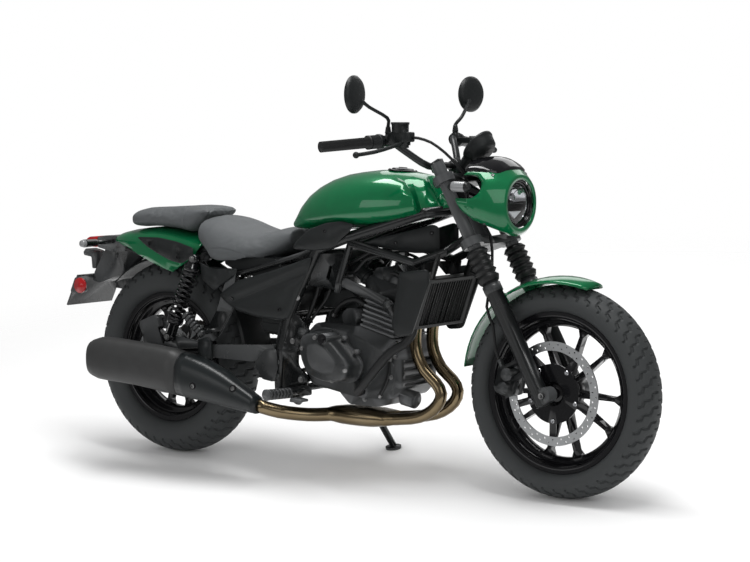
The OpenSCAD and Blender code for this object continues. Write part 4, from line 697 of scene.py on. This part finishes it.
def cushion(node, cap, shrink, seams):
    """A seat that swells under its cover from the CAD form, by cap at most, with sewn seams that pull in.
    It starts from the CAD form drawn in by shrink. Both are in metres."""
    mesh = NODES[node].data.copy()
    made = bpy.data.objects.new(node + "_cushion", mesh)
    bpy.context.scene.collection.objects.link(made)
    bm = bmesh.new()
    bm.from_mesh(mesh)
    bmesh.ops.remove_doubles(bm, verts=bm.verts, dist=WELD)
    bm.normal_update()
    for vert in bm.verts:
        vert.co -= vert.normal * shrink
    bm.to_mesh(mesh)
    bm.free()
    bpy.context.view_layer.objects.active = made
    made.select_set(True)
    remesh = made.modifiers.new("remesh", "REMESH")
    remesh.mode = "VOXEL"
    remesh.voxel_size = VOXEL
    bpy.ops.object.modifier_apply(modifier="remesh")
    soften = made.modifiers.new("soften", "SMOOTH")
    soften.factor = 0.5
    soften.iterations = 3
    bpy.ops.object.modifier_apply(modifier="soften")
    rest = np.array([v.co for v in made.data.vertices])
    cloth = made.modifiers.new("cloth", "CLOTH")
    cloth.settings.use_pressure = True
    cloth.settings.uniform_pressure_force = 4
    cloth.settings.quality = 4
    cloth.settings.mass = 0.4
    cloth.settings.tension_stiffness = cloth.settings.compression_stiffness = 12
    cloth.settings.effector_weights.gravity = 0
    cloth.collision_settings.use_collision = False
    for step in range(1, SWELL_FRAMES + 1):
        bpy.context.scene.frame_set(step)
    found = made.evaluated_get(bpy.context.evaluated_depsgraph_get()).to_mesh()
    swollen = np.array([v.co for v in found.vertices])
    made.modifiers.clear()
    bpy.context.scene.frame_set(1)
    move = swollen - rest
    far = np.linalg.norm(move, axis=1, keepdims=True)
    move *= np.minimum(1, cap / np.maximum(far, 1e-9))
    base = np.array([(BIKE @ Vector(p)).z for p in rest])
    free = np.clip((base - base.min()) / SWELL_HEIGHT, 0, 1)[:, None]
    made.data.vertices.foreach_set("co", (rest + move * free).astype(np.float32).ravel())
    fine = made.modifiers.new("fine", "SUBSURF")
    fine.levels = 1
    bpy.ops.object.modifier_apply(modifier="fine")
    made.select_set(False)
    points = [BIKE @ v.co for v in made.data.vertices]
    normals = [v.normal.copy() for v in made.data.vertices]
    for vert, at, normal in zip(made.data.vertices, points, normals):
        pull = 0.0
        for seam in seams:
            off = seam(at)
            if off is not None:
                ridge = RIDGE_SHARE * math.exp(-((abs(off) - RIDGE_AT) / RIDGE_WIDTH) ** 2)
                pull = max(pull, math.exp(-(off / SEAM_WIDTH) ** 2) - ridge)
        vert.co -= normal * pull * SEAM_PULL
    made.data.polygons.foreach_set("use_smooth", [True] * len(made.data.polygons))
    made.data.materials.clear()
    made.data.materials.append(LOOKS["seat_leather"])
    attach(made, BODY[node])
    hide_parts(node)


def bow(x0, z0, bend):
    """A seam across the seat that bows forward with its height over z0."""
    return lambda at: at.x - x0 - bend * ((at.z - z0) / 50) ** 2 if at.z > z0 - 60 else None


def side_seam(at):
    """The seam that parts the rider's seat top from its side, falling from the hump to the middle."""
    if at.x < -500 or at.x > -330:
        return None
    return at.z - (700 - 0.00155 * (at.x + 500) * (at.x + 500) * 1.35 + 0.18 * (at.x + 500))


cushion("rider_seat", 0.005, 0.0005, [side_seam])
cushion("passenger_seat", 0.006, 0.003, [bow(-655, 790, 5)])

# ---- camera, lights, floor

# The camera as solved from the photo, in the frame of the upright bike
AZIMUTH, ELEVATION = math.radians(36.69), math.radians(4.77)
TARGET, DISTANCE = Vector((57.23, 0, 613.86)), 7173.9
FOCAL_PIXELS, WIDTH_PIXELS, SENSOR = 2282.38, 750, 36
back = Vector((math.sin(AZIMUTH) * math.cos(ELEVATION), -math.cos(AZIMUTH) * math.cos(ELEVATION),
               math.sin(ELEVATION)))
right = Vector((math.cos(AZIMUTH), math.sin(AZIMUTH), 0))
aim = Matrix((right, back.cross(right), back)).transposed().to_4x4()
aim.translation = TARGET + back * DISTANCE
lens = bpy.data.cameras.new("camera")
lens.sensor_width = SENSOR
lens.lens = FOCAL_PIXELS / WIDTH_PIXELS * SENSOR
lens.clip_end = 100
camera = bpy.data.objects.new("camera", lens)
bpy.context.scene.collection.objects.link(camera)
placed = WORLD @ aim
camera.matrix_world = Matrix.LocRotScale(placed.to_translation(), placed.to_quaternion(), None)
bpy.context.scene.camera = camera


LIT = Vector((0, 0, 0.5))  # what the lights point at


def softbox(name, place, size, power):
    """A lit panel of the studio, in metres and watts."""
    light = bpy.data.lights.new(name, "AREA")
    light.shape = "RECTANGLE"
    light.size, light.size_y = size
    light.energy = power
    made = bpy.data.objects.new(name, light)
    bpy.context.scene.collection.objects.link(made)
    made.location = place
    made.rotation_euler = (LIT - Vector(place)).to_track_quat("-Z", "Y").to_euler()


softbox("top_light", (0.1, 0.3, 3.6), (4.0, 0.9), 112)
softbox("front_light", (4.2, -1.8, 2.4), (2.4, 2.4), 26)
softbox("side_light", (-1.2, -4.4, 2.2), (4.0, 1.6), 26)
softbox("far_light", (-1.0, 4.2, 2.6), (4.0, 2.0), 34)

# The room: white to the camera, softer as light, and dimmer still in reflections, which keeps black black
SKY_LIGHT, SKY_SEEN, SKY_MIRRORED = 0.5, 1.0, 0.22
sky = bpy.data.worlds.new("sky")
bpy.context.scene.world = sky
sky.use_nodes = True
tree = sky.node_tree
ray = tree.nodes.new("ShaderNodeLightPath")
seen = tree.nodes.new("ShaderNodeMath")
seen.operation = "MAXIMUM"
tree.links.new(ray.outputs["Is Camera Ray"], seen.inputs[0])
tree.links.new(ray.outputs["Is Transmission Ray"], seen.inputs[1])
level = tree.nodes.new("ShaderNodeMapRange")
level.inputs["To Min"].default_value = SKY_LIGHT
level.inputs["To Max"].default_value = SKY_SEEN
tree.links.new(seen.outputs[0], level.inputs["Value"])
tree.nodes["Background"].inputs["Color"].default_value = (1, 1, 1, 1)
dim = tree.nodes.new("ShaderNodeMix")
dim.inputs["B"].default_value = SKY_MIRRORED
tree.links.new(ray.outputs["Is Glossy Ray"], dim.inputs["Factor"])
tree.links.new(level.outputs["Result"], dim.inputs["A"])
tree.links.new(dim.outputs["Result"], tree.nodes["Background"].inputs["Strength"])
bpy.context.scene.view_settings.view_transform = "Standard"

# The floor is plain and pale, keeps the shadow, and fades into the white of the room
FLOOR_SIZE, FADE_STARTS, FADE_ENDS = 14, 1.7, 3.4
bpy.ops.mesh.primitive_plane_add(size=FLOOR_SIZE)
floor = bpy.context.object
floor.name = "floor"
paint = material("floor_white", (0.95, 0.95, 0.95), 0.8, specular=0.1, second=(0.94, 0.94, 0.94), vary_size=2)
tree = paint.node_tree
place = tree.nodes.new("ShaderNodeTexCoord")
reach = tree.nodes.new("ShaderNodeVectorMath")
reach.operation = "LENGTH"
tree.links.new(place.outputs["Object"], reach.inputs[0])
fade = tree.nodes.new("ShaderNodeMapRange")
fade.interpolation_type = "SMOOTHSTEP"
fade.inputs["From Min"].default_value = FADE_STARTS
fade.inputs["From Max"].default_value = FADE_ENDS
tree.links.new(reach.outputs["Value"], fade.inputs["Value"])
clear = tree.nodes.new("ShaderNodeBsdfTransparent")
join = tree.nodes.new("ShaderNodeMixShader")
tree.links.new(fade.outputs["Result"], join.inputs[0])
tree.links.new(tree.nodes["Principled BSDF"].outputs[0], join.inputs[1])
tree.links.new(clear.outputs[0], join.inputs[2])
tree.links.new(join.outputs[0], tree.nodes["Material Output"].inputs["Surface"])
floor.data.materials.append(paint)
